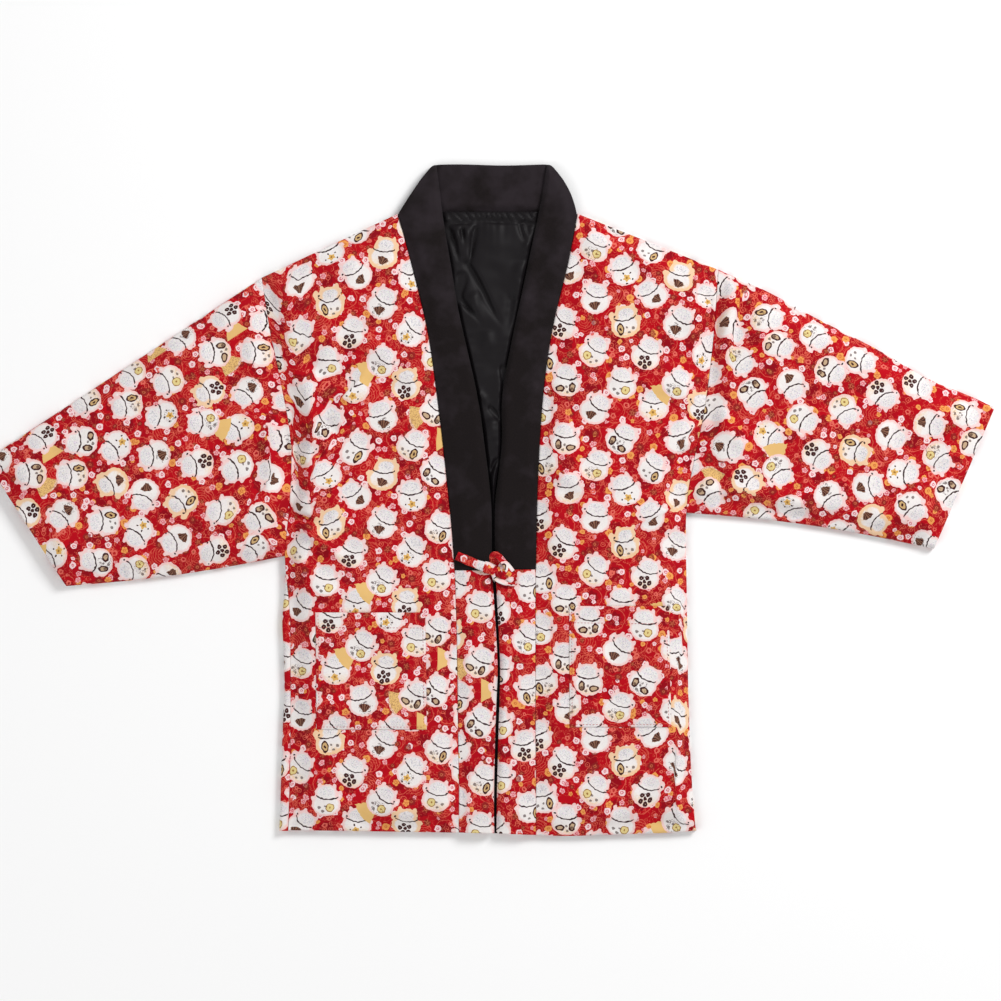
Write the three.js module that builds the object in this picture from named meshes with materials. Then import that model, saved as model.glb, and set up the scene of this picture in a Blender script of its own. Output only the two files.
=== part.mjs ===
// A wadded hanten jacket, laid flat on its back with the fronts tied: millimetres, +X to the viewer's
// right, +Y towards the collar, +Z up off the surface it lies on. Its origin is under the middle of it.
// "right" and "left" are the wearer's, so the right front lies at -X.
import * as THREE from 'three';

// ---------- driving dimensions ----------
const halfSpan = 630; // centre line to the tip of either cuff
const collarTopY = 420; // top fold of the collar
const hemY = -418; // lower edge of the fronts, which dips to -420 at its lowest
const wadBack = 9; // wadded cloth of the back, at its thickest
const wadFront = 10; // wadded cloth of the fronts and the sleeves' upper side
const wadCollar = 8.5; // the collar band, folded double
const seamThick = 4.5; // wadded cloth where a seam pinches it
const hemThick = 6; // a hem or a cuff, turned under
const seamReach = 30; // how far in from a seam the wadding is back to its full loft
const slit = 1.1; // air between two layers that lie on each other, at their edges
const slitMore = 0.7; // and this much more away from the edges
const seamGap = 0.5; // between two pieces that a seam joins
const foldRadius = 4.8; // how tightly a folded edge turns
const gussetShows = 11; // the right side's gusset, folded in two, stands out this far beyond the front
const liningThick = 1.5;
const liningMargin = 14; // how far the lining runs on under the collar
const pocketThick = 3.2;
const step = 20; // the usual size of a facet

// ---------- outlines, from the shoulder down ----------
// Each row is one level of a front: its outer edge (armhole, then side seam) and its edge at the collar.
const armpitRow = 5;
const rightFrontRows = [
  { sideX: -285, sideY: 277.5, neckX: -115, neckY: 357.5 },
  { sideX: -275, sideY: 212.5, neckX: -98.5, neckY: 297.5 },
  { sideX: -264, sideY: 160, neckX: -78, neckY: 212.5 },
  { sideX: -249, sideY: 75, neckX: -66, neckY: 131 },
  { sideX: -250, sideY: 0, neckX: -55, neckY: 37.5 },
  { sideX: -256, sideY: -70, neckX: -46, neckY: -56 },
  { sideX: -250, sideY: -140, neckX: -42.5, neckY: -140 },
  { sideX: -249, sideY: -212, neckX: -41, neckY: -212 },
  { sideX: -249, sideY: -286, neckX: -40, neckY: -286 },
  { sideX: -250, sideY: -350, neckX: -39, neckY: -350 },
  { sideX: -252, sideY: hemY + 5, neckX: -39, neckY: hemY + 3 },
];
const leftFrontRows = [
  { sideX: 285, sideY: 287.5, neckX: 109, neckY: 357.5 },
  { sideX: 281, sideY: 228, neckX: 97.5, neckY: 297.5 },
  { sideX: 276, sideY: 175, neckX: 77.5, neckY: 212.5 },
  { sideX: 267, sideY: 108, neckX: 66, neckY: 131 },
  { sideX: 254, sideY: 46, neckX: 60, neckY: 37.5 },
  { sideX: 245, sideY: -16, neckX: 57.5, neckY: -50 },
  { sideX: 246, sideY: -132, neckX: 57, neckY: -132 },
  { sideX: 247, sideY: -208, neckX: 57, neckY: -208 },
  { sideX: 249, sideY: -283, neckX: 57, neckY: -283 },
  { sideX: 252, sideY: -350, neckX: 57.5, neckY: -350 },
  { sideX: 258, sideY: hemY + 5, neckX: 57.5, neckY: hemY - 2 },
];
// The folded inner edge of each collar band, from its top corner to the hem.
const rightInnerRows = [
  { x: -64, y: 419.5 }, { x: -59, y: 388 }, { x: -55, y: 352 }, { x: -43.5, y: 269 }, { x: -30, y: 192 },
  { x: -16, y: 131 }, { x: -6, y: 62 }, { x: 1.5, y: -6 }, { x: 2.5, y: -86 }, { x: 5, y: -187 },
  { x: 5.5, y: -300 }, { x: 5, y: hemY + 3 },
];
const leftInnerRows = [
  { x: 68, y: 419.5 }, { x: 63.5, y: 388 }, { x: 59.5, y: 352 }, { x: 42.5, y: 272 }, { x: 24, y: 192 },
  { x: 15.5, y: 131 }, { x: 14.5, y: 66 }, { x: 6.5, y: -6 }, { x: 7, y: -82 }, { x: 9.5, y: -187 },
  { x: 10, y: -300 }, { x: 9.5, y: hemY - 2 },
];
const blackEnds = { right: -89, left: -82 }; // where the black collar cover stops on each band
const pockets = {
  right: { outer: 0.155, inner: 0.815, mouthRow: 6, footRow: 8 },
  left: { outer: 0.12, inner: 0.78, mouthRow: 6, footRow: 8 },
};
// The cuff's upper and lower corner on each sleeve, and how far the underarm edge bows down between.
const sleeves = {
  right: { cuffTop: [-halfSpan, 50], cuffFoot: [-529, -107.5], bow: 5 },
  left: { cuffTop: [halfSpan, 116], cuffFoot: [554, -61], bow: -7 },
};

// ---------- folds ----------
// A ridge has a positive height and a trough a negative one; each fades out at both of its ends.
const folds = [
  { fromX: -238, fromY: 60, toX: -205, toY: -62, width: 17, height: 4.5 },
  { fromX: -228, fromY: 20, toX: -228, toY: -66, width: 11, height: -4 },
  { fromX: -232, fromY: -20, toX: -150, toY: -78, width: 14, height: 2.6 },
  { fromX: -170, fromY: 192, toX: -82, toY: 150, width: 16, height: 3.2 },
  { fromX: -158, fromY: 158, toX: -76, toY: 112, width: 12, height: -2.8 },
  { fromX: -240, fromY: 172, toX: -196, toY: 92, width: 15, height: 2.6 },
  { fromX: -225, fromY: -96, toX: -70, toY: -122, width: 17, height: 2.2 },
  { fromX: 258, fromY: 104, toX: 214, toY: 36, width: 15, height: 4.4 },
  { fromX: 250, fromY: 62, toX: 218, toY: 6, width: 11, height: -3.8 },
  { fromX: 232, fromY: 4, toX: 150, toY: -58, width: 16, height: 2.8 },
  { fromX: 90, fromY: 150, toX: 205, toY: 132, width: 15, height: 2.6 },
  { fromX: 104, fromY: 118, toX: 190, toY: 88, width: 13, height: -2.4 },
  { fromX: 238, fromY: -60, toX: 214, toY: -128, width: 12, height: -2.4 },
  { fromX: 306, fromY: 262, toX: 292, toY: 118, width: 14, height: 4 },
  { fromX: 330, fromY: 240, toX: 322, toY: 60, width: 15, height: -2.6 },
  { fromX: 296, fromY: 40, toX: 420, toY: -22, width: 15, height: 2.8 },
  { fromX: -312, fromY: 200, toX: -282, toY: 62, width: 14, height: 3.6 },
  { fromX: -288, fromY: 40, toX: -330, toY: -62, width: 15, height: -3 },
  { fromX: -300, fromY: -20, toX: -430, toY: -72, width: 16, height: 2.8 },
  { fromX: -560, fromY: 20, toX: -420, toY: 96, width: 26, height: 2.2 },
  { fromX: 560, fromY: 90, toX: 430, toY: 128, width: 26, height: 2.2 },
];
// Creases of the thin lining in the neck.
const liningFolds = [
  { fromX: -46, fromY: 340, toX: -12, toY: 226, width: 8, height: 3.4 },
  { fromX: -24, fromY: 346, toX: -22, toY: 268, width: 7, height: 2.4 },
  { fromX: 52, fromY: 344, toX: 14, toY: 176, width: 9, height: 3.2 },
  { fromX: -30, fromY: 262, toX: 16, toY: 186, width: 8, height: 3 },
  { fromX: -14, fromY: 214, toX: 4, toY: 92, width: 6, height: 2.6 },
];

// ---------- small helpers ----------
const mix = THREE.MathUtils.lerp;
const ease = (t) => THREE.MathUtils.smoothstep(t, 0, 1);

// A smooth curve through points, where t counts the points from 0.
function through(points) {
  const curve = new THREE.SplineCurve(points.map(([x, y]) => new THREE.Vector2(x, y)));
  return (t) => curve.getPoint(t / (points.length - 1));
}

// The x of a curve at a height y, where the curve runs downwards.
function xAtY(curve, rows) {
  const samples = Array.from({ length: rows * 12 + 1 }, (_, i) => curve(i / 12));
  return (y) => {
    let i = samples.findIndex((p) => p.y <= y);
    if (i < 0) i = samples.length - 1;
    if (i === 0) return samples[0].x;
    const [a, b] = [samples[i - 1], samples[i]];
    return mix(a.x, b.x, THREE.MathUtils.clamp((a.y - y) / (a.y - b.y || 1), 0, 1));
  };
}

// The levels t of a curve's rows, spaced about one facet apart, with every row from first to last kept.
function levels(curve, first, last) {
  const found = [first];
  for (let t = first; t < last - 1e-6; ) {
    const next = Math.min(Math.floor(t + 1 + 1e-6), last);
    const pieces = Math.max(1, Math.round(curve(t).distanceTo(curve(next)) / step));
    for (let i = 1; i <= pieces; i++) found.push(mix(t, next, i / pieces));
    t = next;
  }
  return found;
}

const spaced = (count, from = 0, to = 1) => Array.from({ length: count + 1 }, (_, i) => mix(from, to, i / count));

// How far the folds in a table lift a point.
function lift(table, x, y) {
  return table.reduce((sum, f) => {
    const [dx, dy] = [f.toX - f.fromX, f.toY - f.fromY];
    const long = Math.hypot(dx, dy);
    const along = ((x - f.fromX) * dx + (y - f.fromY) * dy) / long;
    const off = ((x - f.fromX) * dy - (y - f.fromY) * dx) / long;
    if (along < 0 || along > long) return sum;
    return sum + f.height * Math.sin((Math.PI * along) / long) ** 1.2 * Math.exp(-((off / f.width) ** 2));
  }, 0);
}

// The slow swell of wadded cloth that lies on itself.
const swell = (x, y) => 1.1 * Math.sin(x / 61 + y / 93) + 0.9 * Math.sin(y / 57 - x / 118 + 1.3);

function cloth(colour, roughness) {
  return new THREE.MeshStandardMaterial({ color: colour, roughness, metalness: 0 });
}
const printed = cloth(0xc8102e, 0.85);
const black = cloth(0x1b1a1c, 0.9);
const satin = cloth(0x202125, 0.45);

const jacket = new THREE.Group();

function piece(name, positions, faces, material) {
  const geometry = new THREE.BufferGeometry();
  geometry.setAttribute('position', new THREE.Float32BufferAttribute(positions, 3));
  geometry.setIndex(faces);
  const mesh = new THREE.Mesh(geometry, material);
  mesh.name = name;
  jacket.add(mesh);
  return mesh;
}

// A flat-lying panel: plan(u, v) gives its outline's points, and low and high its two faces' heights.
function panel(name, us, vs, plan, low, high, material) {
  const across = us.length;
  const count = across * vs.length;
  const positions = [];
  for (const height of [high, low]) {
    for (const v of vs) {
      for (const u of us) {
        const p = plan(u, v);
        positions.push(p.x, p.y, height(p.x, p.y, u, v));
      }
    }
  }
  const [a, b, c] = [plan(us[0], vs[0]), plan(us[across - 1], vs[0]), plan(us[0], vs[vs.length - 1])];
  const turned = (b.x - a.x) * (c.y - a.y) - (b.y - a.y) * (c.x - a.x) < 0;
  const faces = [];
  const quad = (p, q, r, s) => (turned ? faces.push(p, r, q, p, s, r) : faces.push(p, q, r, p, r, s));
  for (let j = 0; j + 1 < vs.length; j++) {
    for (let i = 0; i + 1 < across; i++) {
      const k = j * across + i;
      quad(k, k + 1, k + 1 + across, k + across);
      quad(count + k, count + k + across, count + k + 1 + across, count + k + 1);
    }
  }
  const rim = [
    ...spaced(across - 1, 0, across - 1),
    ...spaced(vs.length - 1, 0, vs.length - 1).map((j) => j * across + across - 1).slice(1),
    ...spaced(across - 1, across - 1, 0).map((i) => (vs.length - 1) * across + i).slice(1),
    ...spaced(vs.length - 1, vs.length - 1, 0).map((j) => j * across).slice(1),
  ].map(Math.round);
  rim.slice(1).forEach((next, i) => quad(rim[i], count + rim[i], count + next, next));
  return piece(name, positions, faces, material);
}

// ---------- the back ----------
const edge = (rows, x, y) => through(rows.map((row) => [row[x], row[y]]));
const rightSide = edge(rightFrontRows, 'sideX', 'sideY');
const leftSide = edge(leftFrontRows, 'sideX', 'sideY');
const rightNeck = edge(rightFrontRows, 'neckX', 'neckY');
const leftNeck = edge(leftFrontRows, 'neckX', 'neckY');
const lastRow = rightFrontRows.length - 1;
const rightSideX = xAtY(rightSide, lastRow);
const leftSideX = xAtY(leftSide, lastRow);
const neckY = rightFrontRows[0].neckY;

// The shoulder line and the back of the neck, as a height y for each x.
function shoulderY(x) {
  const [r, l] = [rightFrontRows[0], leftFrontRows[0]];
  if (x < r.neckX) return mix(r.sideY, neckY, (x - r.sideX) / (r.neckX - r.sideX));
  if (x > l.neckX) return mix(l.sideY, neckY, (x - l.sideX) / (l.neckX - l.sideX));
  return neckY;
}
const bottomY = (x) => mix(hemY + 5, hemY - 2, ease((x + 252) / 340)) + 3 * ease((x - 120) / 130);

// The share of its full loft that wadded cloth has at a distance from each of its seams.
const loft = (...distances) => ease(Math.min(...distances.map((d) => Math.max(d, 0) / seamReach), 1));

function backTop(x, y) {
  const share = loft(x - rightSideX(y), leftSideX(y) - x, y - bottomY(x), shoulderY(x) - y);
  return mix(seamThick, wadBack, share);
}

const gussetTop = seamThick * 2 + slit; // what the back's wrapped edge rises to beside the front
function makeBack() {
  const left = (v) => leftSide(v * lastRow);
  const right = (v) => rightSide(v * lastRow);
  const plan = (u, v) => {
    const [a, b] = [right(v), left(v)];
    const x = mix(a.x, b.x, u);
    const top = shoulderY(x) - mix(a.y, b.y, u);
    return new THREE.Vector2(x, mix(a.y, b.y, u) + top * Math.max(0, 1 - v * 3) ** 2);
  };
  const rightNeckU = (rightFrontRows[0].neckX - rightFrontRows[0].sideX) / (2 * leftFrontRows[0].sideX);
  const leftNeckU = (leftFrontRows[0].neckX - rightFrontRows[0].sideX) / (2 * leftFrontRows[0].sideX);
  const us = [0, 0.03, 0.07, ...spaced(4, 0.13, rightNeckU), ...spaced(6, rightNeckU, leftNeckU).slice(1),
    ...spaced(4, leftNeckU, 0.87).slice(1), 0.93, 0.97, 1];
  // The armhole keeps every level that the sleeve and the front have, and the straight side every second one.
  const vs = levels(rightSide, 0, lastRow).filter((t, i, all) => t <= armpitRow || i % 2 === 0 || i === all.length - 1);
  panel('back', us, vs.map((t) => t / lastRow), plan, () => 0, backTop, printed);
}
makeBack();

// Where the back comes round onto the right front, as a rolled edge with its seam on the front side.
function makeGusset() {
  const first = armpitRow + 0.35;
  const ts = levels(rightSide, first, lastRow);
  const wide = (t) => gussetShows * ease((t - first + 0.25) / 1.2);
  const turn = [0, 0.35, 0.7, 1];
  const plan = (u, t) => {
    const p = rightSide(t);
    return new THREE.Vector2(p.x - seamGap - wide(t) * u, p.y);
  };
  const round = (u, t) => {
    const out = Math.min(1, Math.max(0, (u * wide(t) - wide(t) + foldRadius) / foldRadius));
    return (gussetTop / 2) * Math.sqrt(Math.max(0.02, 1 - out * out));
  };
  const middle = gussetTop / 2;
  panel('side_gusset_right', turn, ts, plan, (x, y, u, t) => middle - round(u, t), (x, y, u, t) => middle + round(u, t), printed);
}
makeGusset();

// ---------- the fronts, each with its patch pocket ----------
const airOver = (...distances) => slit + slitMore * loft(...distances);

function makeFront(name, rows, pocket) {
  const side = edge(rows, 'sideX', 'sideY');
  const neck = edge(rows, 'neckX', 'neckY');
  const outward = Math.sign(rows[0].sideX);
  const sideX = xAtY(side, lastRow);
  const neckX = xAtY(neck, lastRow);
  const far = (x, y) => [outward * (sideX(y) - x), shoulderY(x) - y, y - bottomY(x)];
  const base = (x, y) => backTop(x, y) + airOver(...far(x, y));
  const top = (x, y) => {
    const inside = loft(...far(x, y), outward * (x - neckX(y)));
    return base(x, y) + mix(seamThick, wadFront, inside) + inside * (swell(x, y) + lift(folds, x, y));
  };
  const plan = (u, t) => {
    const [a, b] = [side(t), neck(t)];
    const x = mix(a.x, b.x, u);
    return new THREE.Vector2(x, mix(a.y, b.y, u) + (u > 0 && u < 1 && t === lastRow ? bottomY(x) - mix(a.y, b.y, u) : 0));
  };
  const us = [0, 0.055, ...spaced(5, pocket.outer, pocket.inner), 0.9, 0.96, 1].filter((u, i, all) => i === 0 || u > all[i - 1]);
  const ts = levels(side, 0, lastRow);
  panel(name, us, ts, plan, base, top, printed);

  const pocketUs = us.filter((u) => u >= pocket.outer - 1e-6 && u <= pocket.inner + 1e-6);
  const pocketTs = ts.filter((t) => t >= pocket.mouthRow - 1e-6 && t <= pocket.footRow + 1e-6);
  const rim = (u, t) => Math.min(u - pocket.outer, pocket.inner - u, (pocket.footRow - t) / 3) > 1e-3;
  const above = (x, y, u, t) => top(x, y) + 0.35 + (rim(u, t) ? pocketThick : pocketThick * 0.55);
  panel(`pocket_${name.split('_')[1]}`, pocketUs, pocketTs, plan, (x, y) => top(x, y) + 0.35, above, printed);
}
makeFront('front_right', rightFrontRows, pockets.right);
makeFront('front_left', leftFrontRows, pockets.left);

// ---------- the sleeves, flattened tubes open at the armhole and the cuff ----------
function makeSleeve(name, rows, sleeve) {
  const armhole = edge(rows, 'sideX', 'sideY');
  const outward = Math.sign(rows[0].sideX);
  const cuffTop = new THREE.Vector2(...sleeve.cuffTop);
  const cuffFoot = new THREE.Vector2(...sleeve.cuffFoot);
  const plan = (s, w) => {
    const start = armhole(w * armpitRow).add(new THREE.Vector2(outward * (seamGap + 0.3), 0));
    const end = cuffTop.clone().lerp(cuffFoot, w);
    const p = start.lerp(end, s);
    p.y -= sleeve.bow * Math.sin(Math.PI * s) * w * w;
    return p;
  };
  const widths = (s) => plan(s, 0).distanceTo(plan(s, 1));
  const long = plan(0, 0.5).distanceTo(plan(1, 0.5));
  // Distances in from the upper fold and the underarm seam, as shares w of the sleeve's width.
  const rimShares = (s, inset) => {
    const wide = widths(s);
    const [from, to] = [inset / wide, 1 - inset / wide];
    const near = [0, 1.4, 4, 10, 20].map((d) => from + d / wide);
    const farSide = [20, 10, 4, 1.4, 0].map((d) => to - d / wide);
    return [...near, ...spaced(6, near[4], farSide[0]).slice(1, -1), ...farSide];
  };
  // Both walls and the air between them at a point of the sleeve.
  const walls = (s, w) => {
    const wide = widths(s);
    const inside = loft(w * wide, (1 - w) * wide);
    const alongLoft = loft(s * long);
    const cuffLoft = loft((1 - s) * long);
    const share = Math.min(inside, alongLoft);
    const lower = mix(mix(seamThick, wadBack, share), hemThick, 1 - cuffLoft);
    const upper = mix(mix(seamThick, wadFront, share), hemThick, 1 - cuffLoft);
    const air = slit + slitMore * inside + 1.2 * inside * (1 - cuffLoft);
    const p = plan(s, w);
    const relief = Math.min(inside, alongLoft, cuffLoft) * (swell(p.x, p.y) + lift(folds, p.x, p.y));
    return { lower, air, upper: upper + relief };
  };
  const outerHeights = (s, w) => {
    const wide = widths(s);
    const d = Math.min(w, 1 - w) * wide;
    const { lower, air, upper } = walls(s, w);
    const turn = Math.sqrt(Math.max(0, 1 - (1 - Math.min(d / foldRadius, 1)) ** 2));
    const middle = (2 * seamThick + slit) / 2;
    return [middle * (1 - turn), middle + (lower + air + upper - middle) * turn];
  };
  const innerHeights = (s, w) => {
    const { lower, air } = walls(s, w);
    return [lower, lower + air];
  };
  const ss = spaced(Math.round(long / step), 0, 1).map((s) => s);
  ss.splice(1, 0, 8 / long);
  ss.splice(ss.length - 1, 0, 1 - 6 / long);
  const positions = [];
  const ring = (s, inset, heights) => {
    const shares = rimShares(s, inset);
    const upper = shares.map((w) => [w, 1]);
    const lower = shares.slice(1, -1).reverse().map((w) => [w, 0]);
    for (const [w, which] of [...upper, ...lower]) {
      const p = plan(s, w);
      const [lowZ, highZ] = heights(s, w);
      const closed = w === shares[0] || w === shares[shares.length - 1];
      positions.push(p.x, p.y, closed ? (lowZ + highZ) / 2 : which ? highZ : lowZ);
    }
    return upper.length + lower.length;
  };
  let around = 0;
  for (const s of ss) around = ring(s, 0, outerHeights);
  for (const s of ss) ring(s, foldRadius + 0.6, innerHeights);
  const count = ss.length * around;
  const faces = [];
  const flip = outward < 0;
  const quad = (p, q, r, t) => (flip ? faces.push(p, r, q, p, t, r) : faces.push(p, q, r, p, r, t));
  for (let i = 0; i < around; i++) {
    const next = (i + 1) % around;
    for (let j = 0; j + 1 < ss.length; j++) {
      const [a, b] = [j * around, (j + 1) * around];
      quad(a + i, a + next, b + next, b + i);
      quad(count + a + next, count + a + i, count + b + i, count + b + next);
    }
    const last = (ss.length - 1) * around;
    quad(i, count + i, count + next, next);
    quad(last + next, count + last + next, count + last + i, last + i);
  }
  piece(name, positions, faces, printed);
}
makeSleeve('sleeve_right', rightFrontRows, sleeves.right);
makeSleeve('sleeve_left', leftFrontRows, sleeves.left);

// ---------- the lining, where the neck and the front opening show it ----------
const inner = (rows) => through(rows.map((row) => [row.x, row.y]));
const rightInner = inner(rightInnerRows);
const leftInner = inner(leftInnerRows);
const innerLast = rightInnerRows.length - 1;
const rightInnerX = xAtY(rightInner, innerLast);
const leftInnerX = xAtY(leftInner, innerLast);
const liningBase = (x, y) => backTop(x, y) + 0.6;

function makeLining() {
  const topY = neckY - 1.5;
  const levelsY = spaced(34, topY, hemY + 9);
  // From 0 to 1 across, it shows between the two bands, and beyond that it runs on under them.
  const plan = (u, y) => {
    const x = mix(rightInnerX(y), leftInnerX(y), THREE.MathUtils.clamp(u, 0, 1));
    return new THREE.Vector2(x + liningMargin * (Math.min(u, 0) + Math.max(u - 1, 0)), y);
  };
  const high = (x, y, u) => {
    const shows = u > 1e-6 && u < 1 - 1e-6 ? ease((topY - y) / 16) : 0;
    return liningBase(x, y) + liningThick + shows * Math.max(0, 0.4 + lift(liningFolds, x, y));
  };
  panel('lining', [-1, ...spaced(6), 2], levelsY, plan, liningBase, high, satin);
}
makeLining();

// ---------- the collar: the back of the neck, then a band down each front ----------
function collarBackTop(x, y) {
  const share = ease(Math.min((collarTopY - y) / 12, 1, (y - neckY) / 16));
  return mix(seamThick, wadCollar, Math.max(0, share));
}
function makeCollarBack() {
  const topCorners = [rightInnerRows[0].x, leftInnerRows[0].x];
  const footCorners = [rightFrontRows[0].neckX + 2, leftFrontRows[0].neckX - 2];
  const vs = [0, 0.08, 0.2, 0.4, 0.6, 0.8, 1];
  const plan = (u, v) => new THREE.Vector2(
    mix(mix(topCorners[0], topCorners[1], u), mix(footCorners[0], footCorners[1], u), v),
    mix(collarTopY, neckY + 0.8, v),
  );
  panel('collar_back', spaced(10), vs, plan, () => 0, collarBackTop, black);
}
makeCollarBack();

// The height that a band rests at: over the lining on the back, and over the collar's back part above it.
function bandBase(x, y) {
  const under = y > neckY ? collarBackTop(x, y) : backTop(x, y);
  return under + 0.6 + liningThick + 0.8;
}

function makeBand(side, neckRows, innerCurve, blackEndY) {
  const neck = edge(neckRows, 'neckX', 'neckY');
  const outward = Math.sign(neckRows[0].sideX);
  const neckX = xAtY(neck, lastRow);
  const innerX = xAtY(innerCurve, innerLast);
  const topX = innerX(collarTopY) + outward * 2;
  // The outer edge runs from the top corner straight to the neck point, and then down the front's edge.
  const outerX = (y) => (y > neckY
    ? mix(neckRows[0].neckX - outward * 0.6, topX, (y - neckY) / (collarTopY - neckY))
    : neckX(y) - outward * seamGap);
  const plan = (u, y) => new THREE.Vector2(mix(outerX(y), innerX(y), u), y);
  const top = (x, y, u) => {
    const wide = Math.abs(outerX(y) - innerX(y));
    const seam = ease((u * wide) / 16);
    const fold = ease((0.45 + ((1 - u) * wide)) / 7);
    const thick = Math.min(mix(seamThick, wadCollar, seam), mix(seamThick, wadCollar, fold));
    return bandBase(x, y) + thick + 0.5 * seam * swell(x * 2, y);
  };
  const us = [0, 0.12, 0.3, 0.55, 0.8, 0.93, 1];
  const blackYs = [collarTopY - 0.5, 410, 396, 380, 366, neckY + 0.2, neckY - 12, ...spaced(20, neckY - 30, blackEndY)];
  panel(`collar_${side}`, us, blackYs, plan, bandBase, top, black);
  const printedYs = spaced(14, blackEndY - seamGap, side === 'right' ? hemY + 3 : hemY - 2);
  const lowered = (x, y, u) => top(x, y, u) - 1.2;
  panel(`band_${side}`, us, printedYs, plan, bandBase, lowered, printed);
}
makeBand('right', rightFrontRows, rightInner, blackEnds.right);
makeBand('left', leftFrontRows, leftInner, blackEnds.left);

// ---------- the ties: flat tubes of the same cloth, knotted over the front opening ----------
const tieWide = 11;
const tieThick = 3.4;
const tieRest = 0.35; // between a tie and the band under it
const underTies = ['collar_right', 'collar_left', 'band_right', 'band_left'].map((name) => jacket.getObjectByName(name));

// The highest that the bands come to within reach of a point.
function bandHeight(x, y, reach) {
  const down = new THREE.Vector3(0, 0, -1);
  const around = [[0, 0], ...spaced(7, 0, 1.75 * Math.PI).map((a) => [reach * Math.cos(a), reach * Math.sin(a)])];
  const hits = around.flatMap(([dx, dy]) =>
    new THREE.Raycaster(new THREE.Vector3(x + dx, y + dy, 100), down).intersectObjects(underTies, false));
  return Math.max(...hits.map((hit) => hit.point.z));
}

// A flat tube through rows of a table; roll turns it about its own line, 0 lying flat and 90 on its edge.
function tie(name, rows, wide = tieWide, thick = tieThick) {
  const line = new THREE.CatmullRomCurve3(rows.map((row) => {
    const roll = THREE.MathUtils.degToRad(row.roll);
    const half = (wide / 2) * Math.sin(roll) + (thick / 2) * Math.cos(roll);
    return new THREE.Vector3(row.x, row.y, bandHeight(row.x, row.y, wide / 2) + tieRest + half);
  }));
  const sections = (rows.length - 1) * 3;
  const around = 8;
  const positions = [];
  for (let i = 0; i <= sections; i++) {
    const t = i / sections;
    const at = line.getPoint(t);
    const along = line.getTangent(t);
    const flat = new THREE.Vector3(0, 0, 1).cross(along).normalize();
    const up = along.clone().cross(flat).normalize();
    const k = Math.min(Math.floor(t * (rows.length - 1)), rows.length - 2);
    const roll = THREE.MathUtils.degToRad(mix(rows[k].roll, rows[k + 1].roll, t * (rows.length - 1) - k));
    for (let j = 0; j < around; j++) {
      const a = (Math.PI / 4) * (j + 0.5);
      const w = Math.sign(Math.cos(a)) * Math.abs(Math.cos(a)) ** 0.6 * (wide / 2);
      const h = Math.sin(a) * (thick / 2);
      const across = flat.clone().multiplyScalar(w * Math.cos(roll) - h * Math.sin(roll));
      const rise = up.clone().multiplyScalar(w * Math.sin(roll) + h * Math.cos(roll));
      const p = at.clone().add(across).add(rise);
      positions.push(p.x, p.y, p.z);
    }
  }
  const faces = [];
  for (let i = 0; i < sections; i++) {
    for (let j = 0; j < around; j++) {
      const [a, b] = [i * around + j, i * around + ((j + 1) % around)];
      faces.push(a, b, b + around, a, b + around, a + around);
    }
  }
  for (let j = 1; j + 1 < around; j++) {
    faces.push(0, j + 1, j);
    const last = sections * around;
    faces.push(last, last + j, last + j + 1);
  }
  piece(name, positions, faces, printed);
}

// A pulled-tight knot: a rounded lump that is longer than it is wide, seated on the bands.
const knot = { x: 11, y: -89, long: 33, wide: 17, high: 9, turn: -19.5 };
function makeKnot(name) {
  const around = 16;
  const low = bandHeight(knot.x, knot.y, knot.wide / 2) + tieRest;
  const levelsUp = [
    { rise: 0, share: 0.72 }, { rise: 0.2, share: 0.95 }, { rise: 0.55, share: 1 },
    { rise: 0.85, share: 0.8 }, { rise: 1, share: 0.42 },
  ];
  const positions = [];
  const faces = [];
  levelsUp.forEach(({ rise, share }, k) => {
    for (let j = 0; j < around; j++) {
      const a = (2 * Math.PI * j) / around;
      const along = Math.sign(Math.cos(a)) * Math.abs(Math.cos(a)) ** 0.8 * (knot.long / 2) * share;
      const off = Math.sign(Math.sin(a)) * Math.abs(Math.sin(a)) ** 0.8 * (knot.wide / 2) * share;
      const p = new THREE.Vector2(along, off).rotateAround(new THREE.Vector2(), THREE.MathUtils.degToRad(knot.turn));
      positions.push(knot.x + p.x, knot.y + p.y, low + rise * knot.high);
      if (k === 0) continue;
      const [lower, next] = [(k - 1) * around + j, (k - 1) * around + ((j + 1) % around)];
      faces.push(lower, next, next + around, lower, next + around, lower + around);
    }
  });
  const top = (levelsUp.length - 1) * around;
  for (let j = 1; j + 1 < around; j++) faces.push(0, j + 1, j, top, top + j, top + j + 1);
  piece(name, positions, faces, printed);
}
makeKnot('tie_knot');
tie('tie_end_right', [
  { x: -6.5, y: -82.5, roll: 0 }, { x: -17, y: -79, roll: 6 }, { x: -30, y: -74, roll: 3 }, { x: -41, y: -69.5, roll: 0 },
]);
tie('tie_loop', [
  { x: 8, y: -76.3, roll: 15 }, { x: 3, y: -69.5, roll: 35 }, { x: 8, y: -65, roll: 55 },
  { x: 18, y: -70.5, roll: 60 }, { x: 27, y: -80, roll: 55 }, { x: 32.5, y: -90, roll: 45 },
], 9, 3);
tie('tie_end_left', [
  { x: 13.1, y: -100.5, roll: 0 }, { x: 14.3, y: -104.4, roll: 0 }, { x: 21, y: -108.5, roll: 0 }, { x: 31, y: -107, roll: 0 },
]);

export default jacket;
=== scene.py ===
import math

import bmesh
import bpy
import numpy as np
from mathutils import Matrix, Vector
from mathutils.bvhtree import BVHTree


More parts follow.
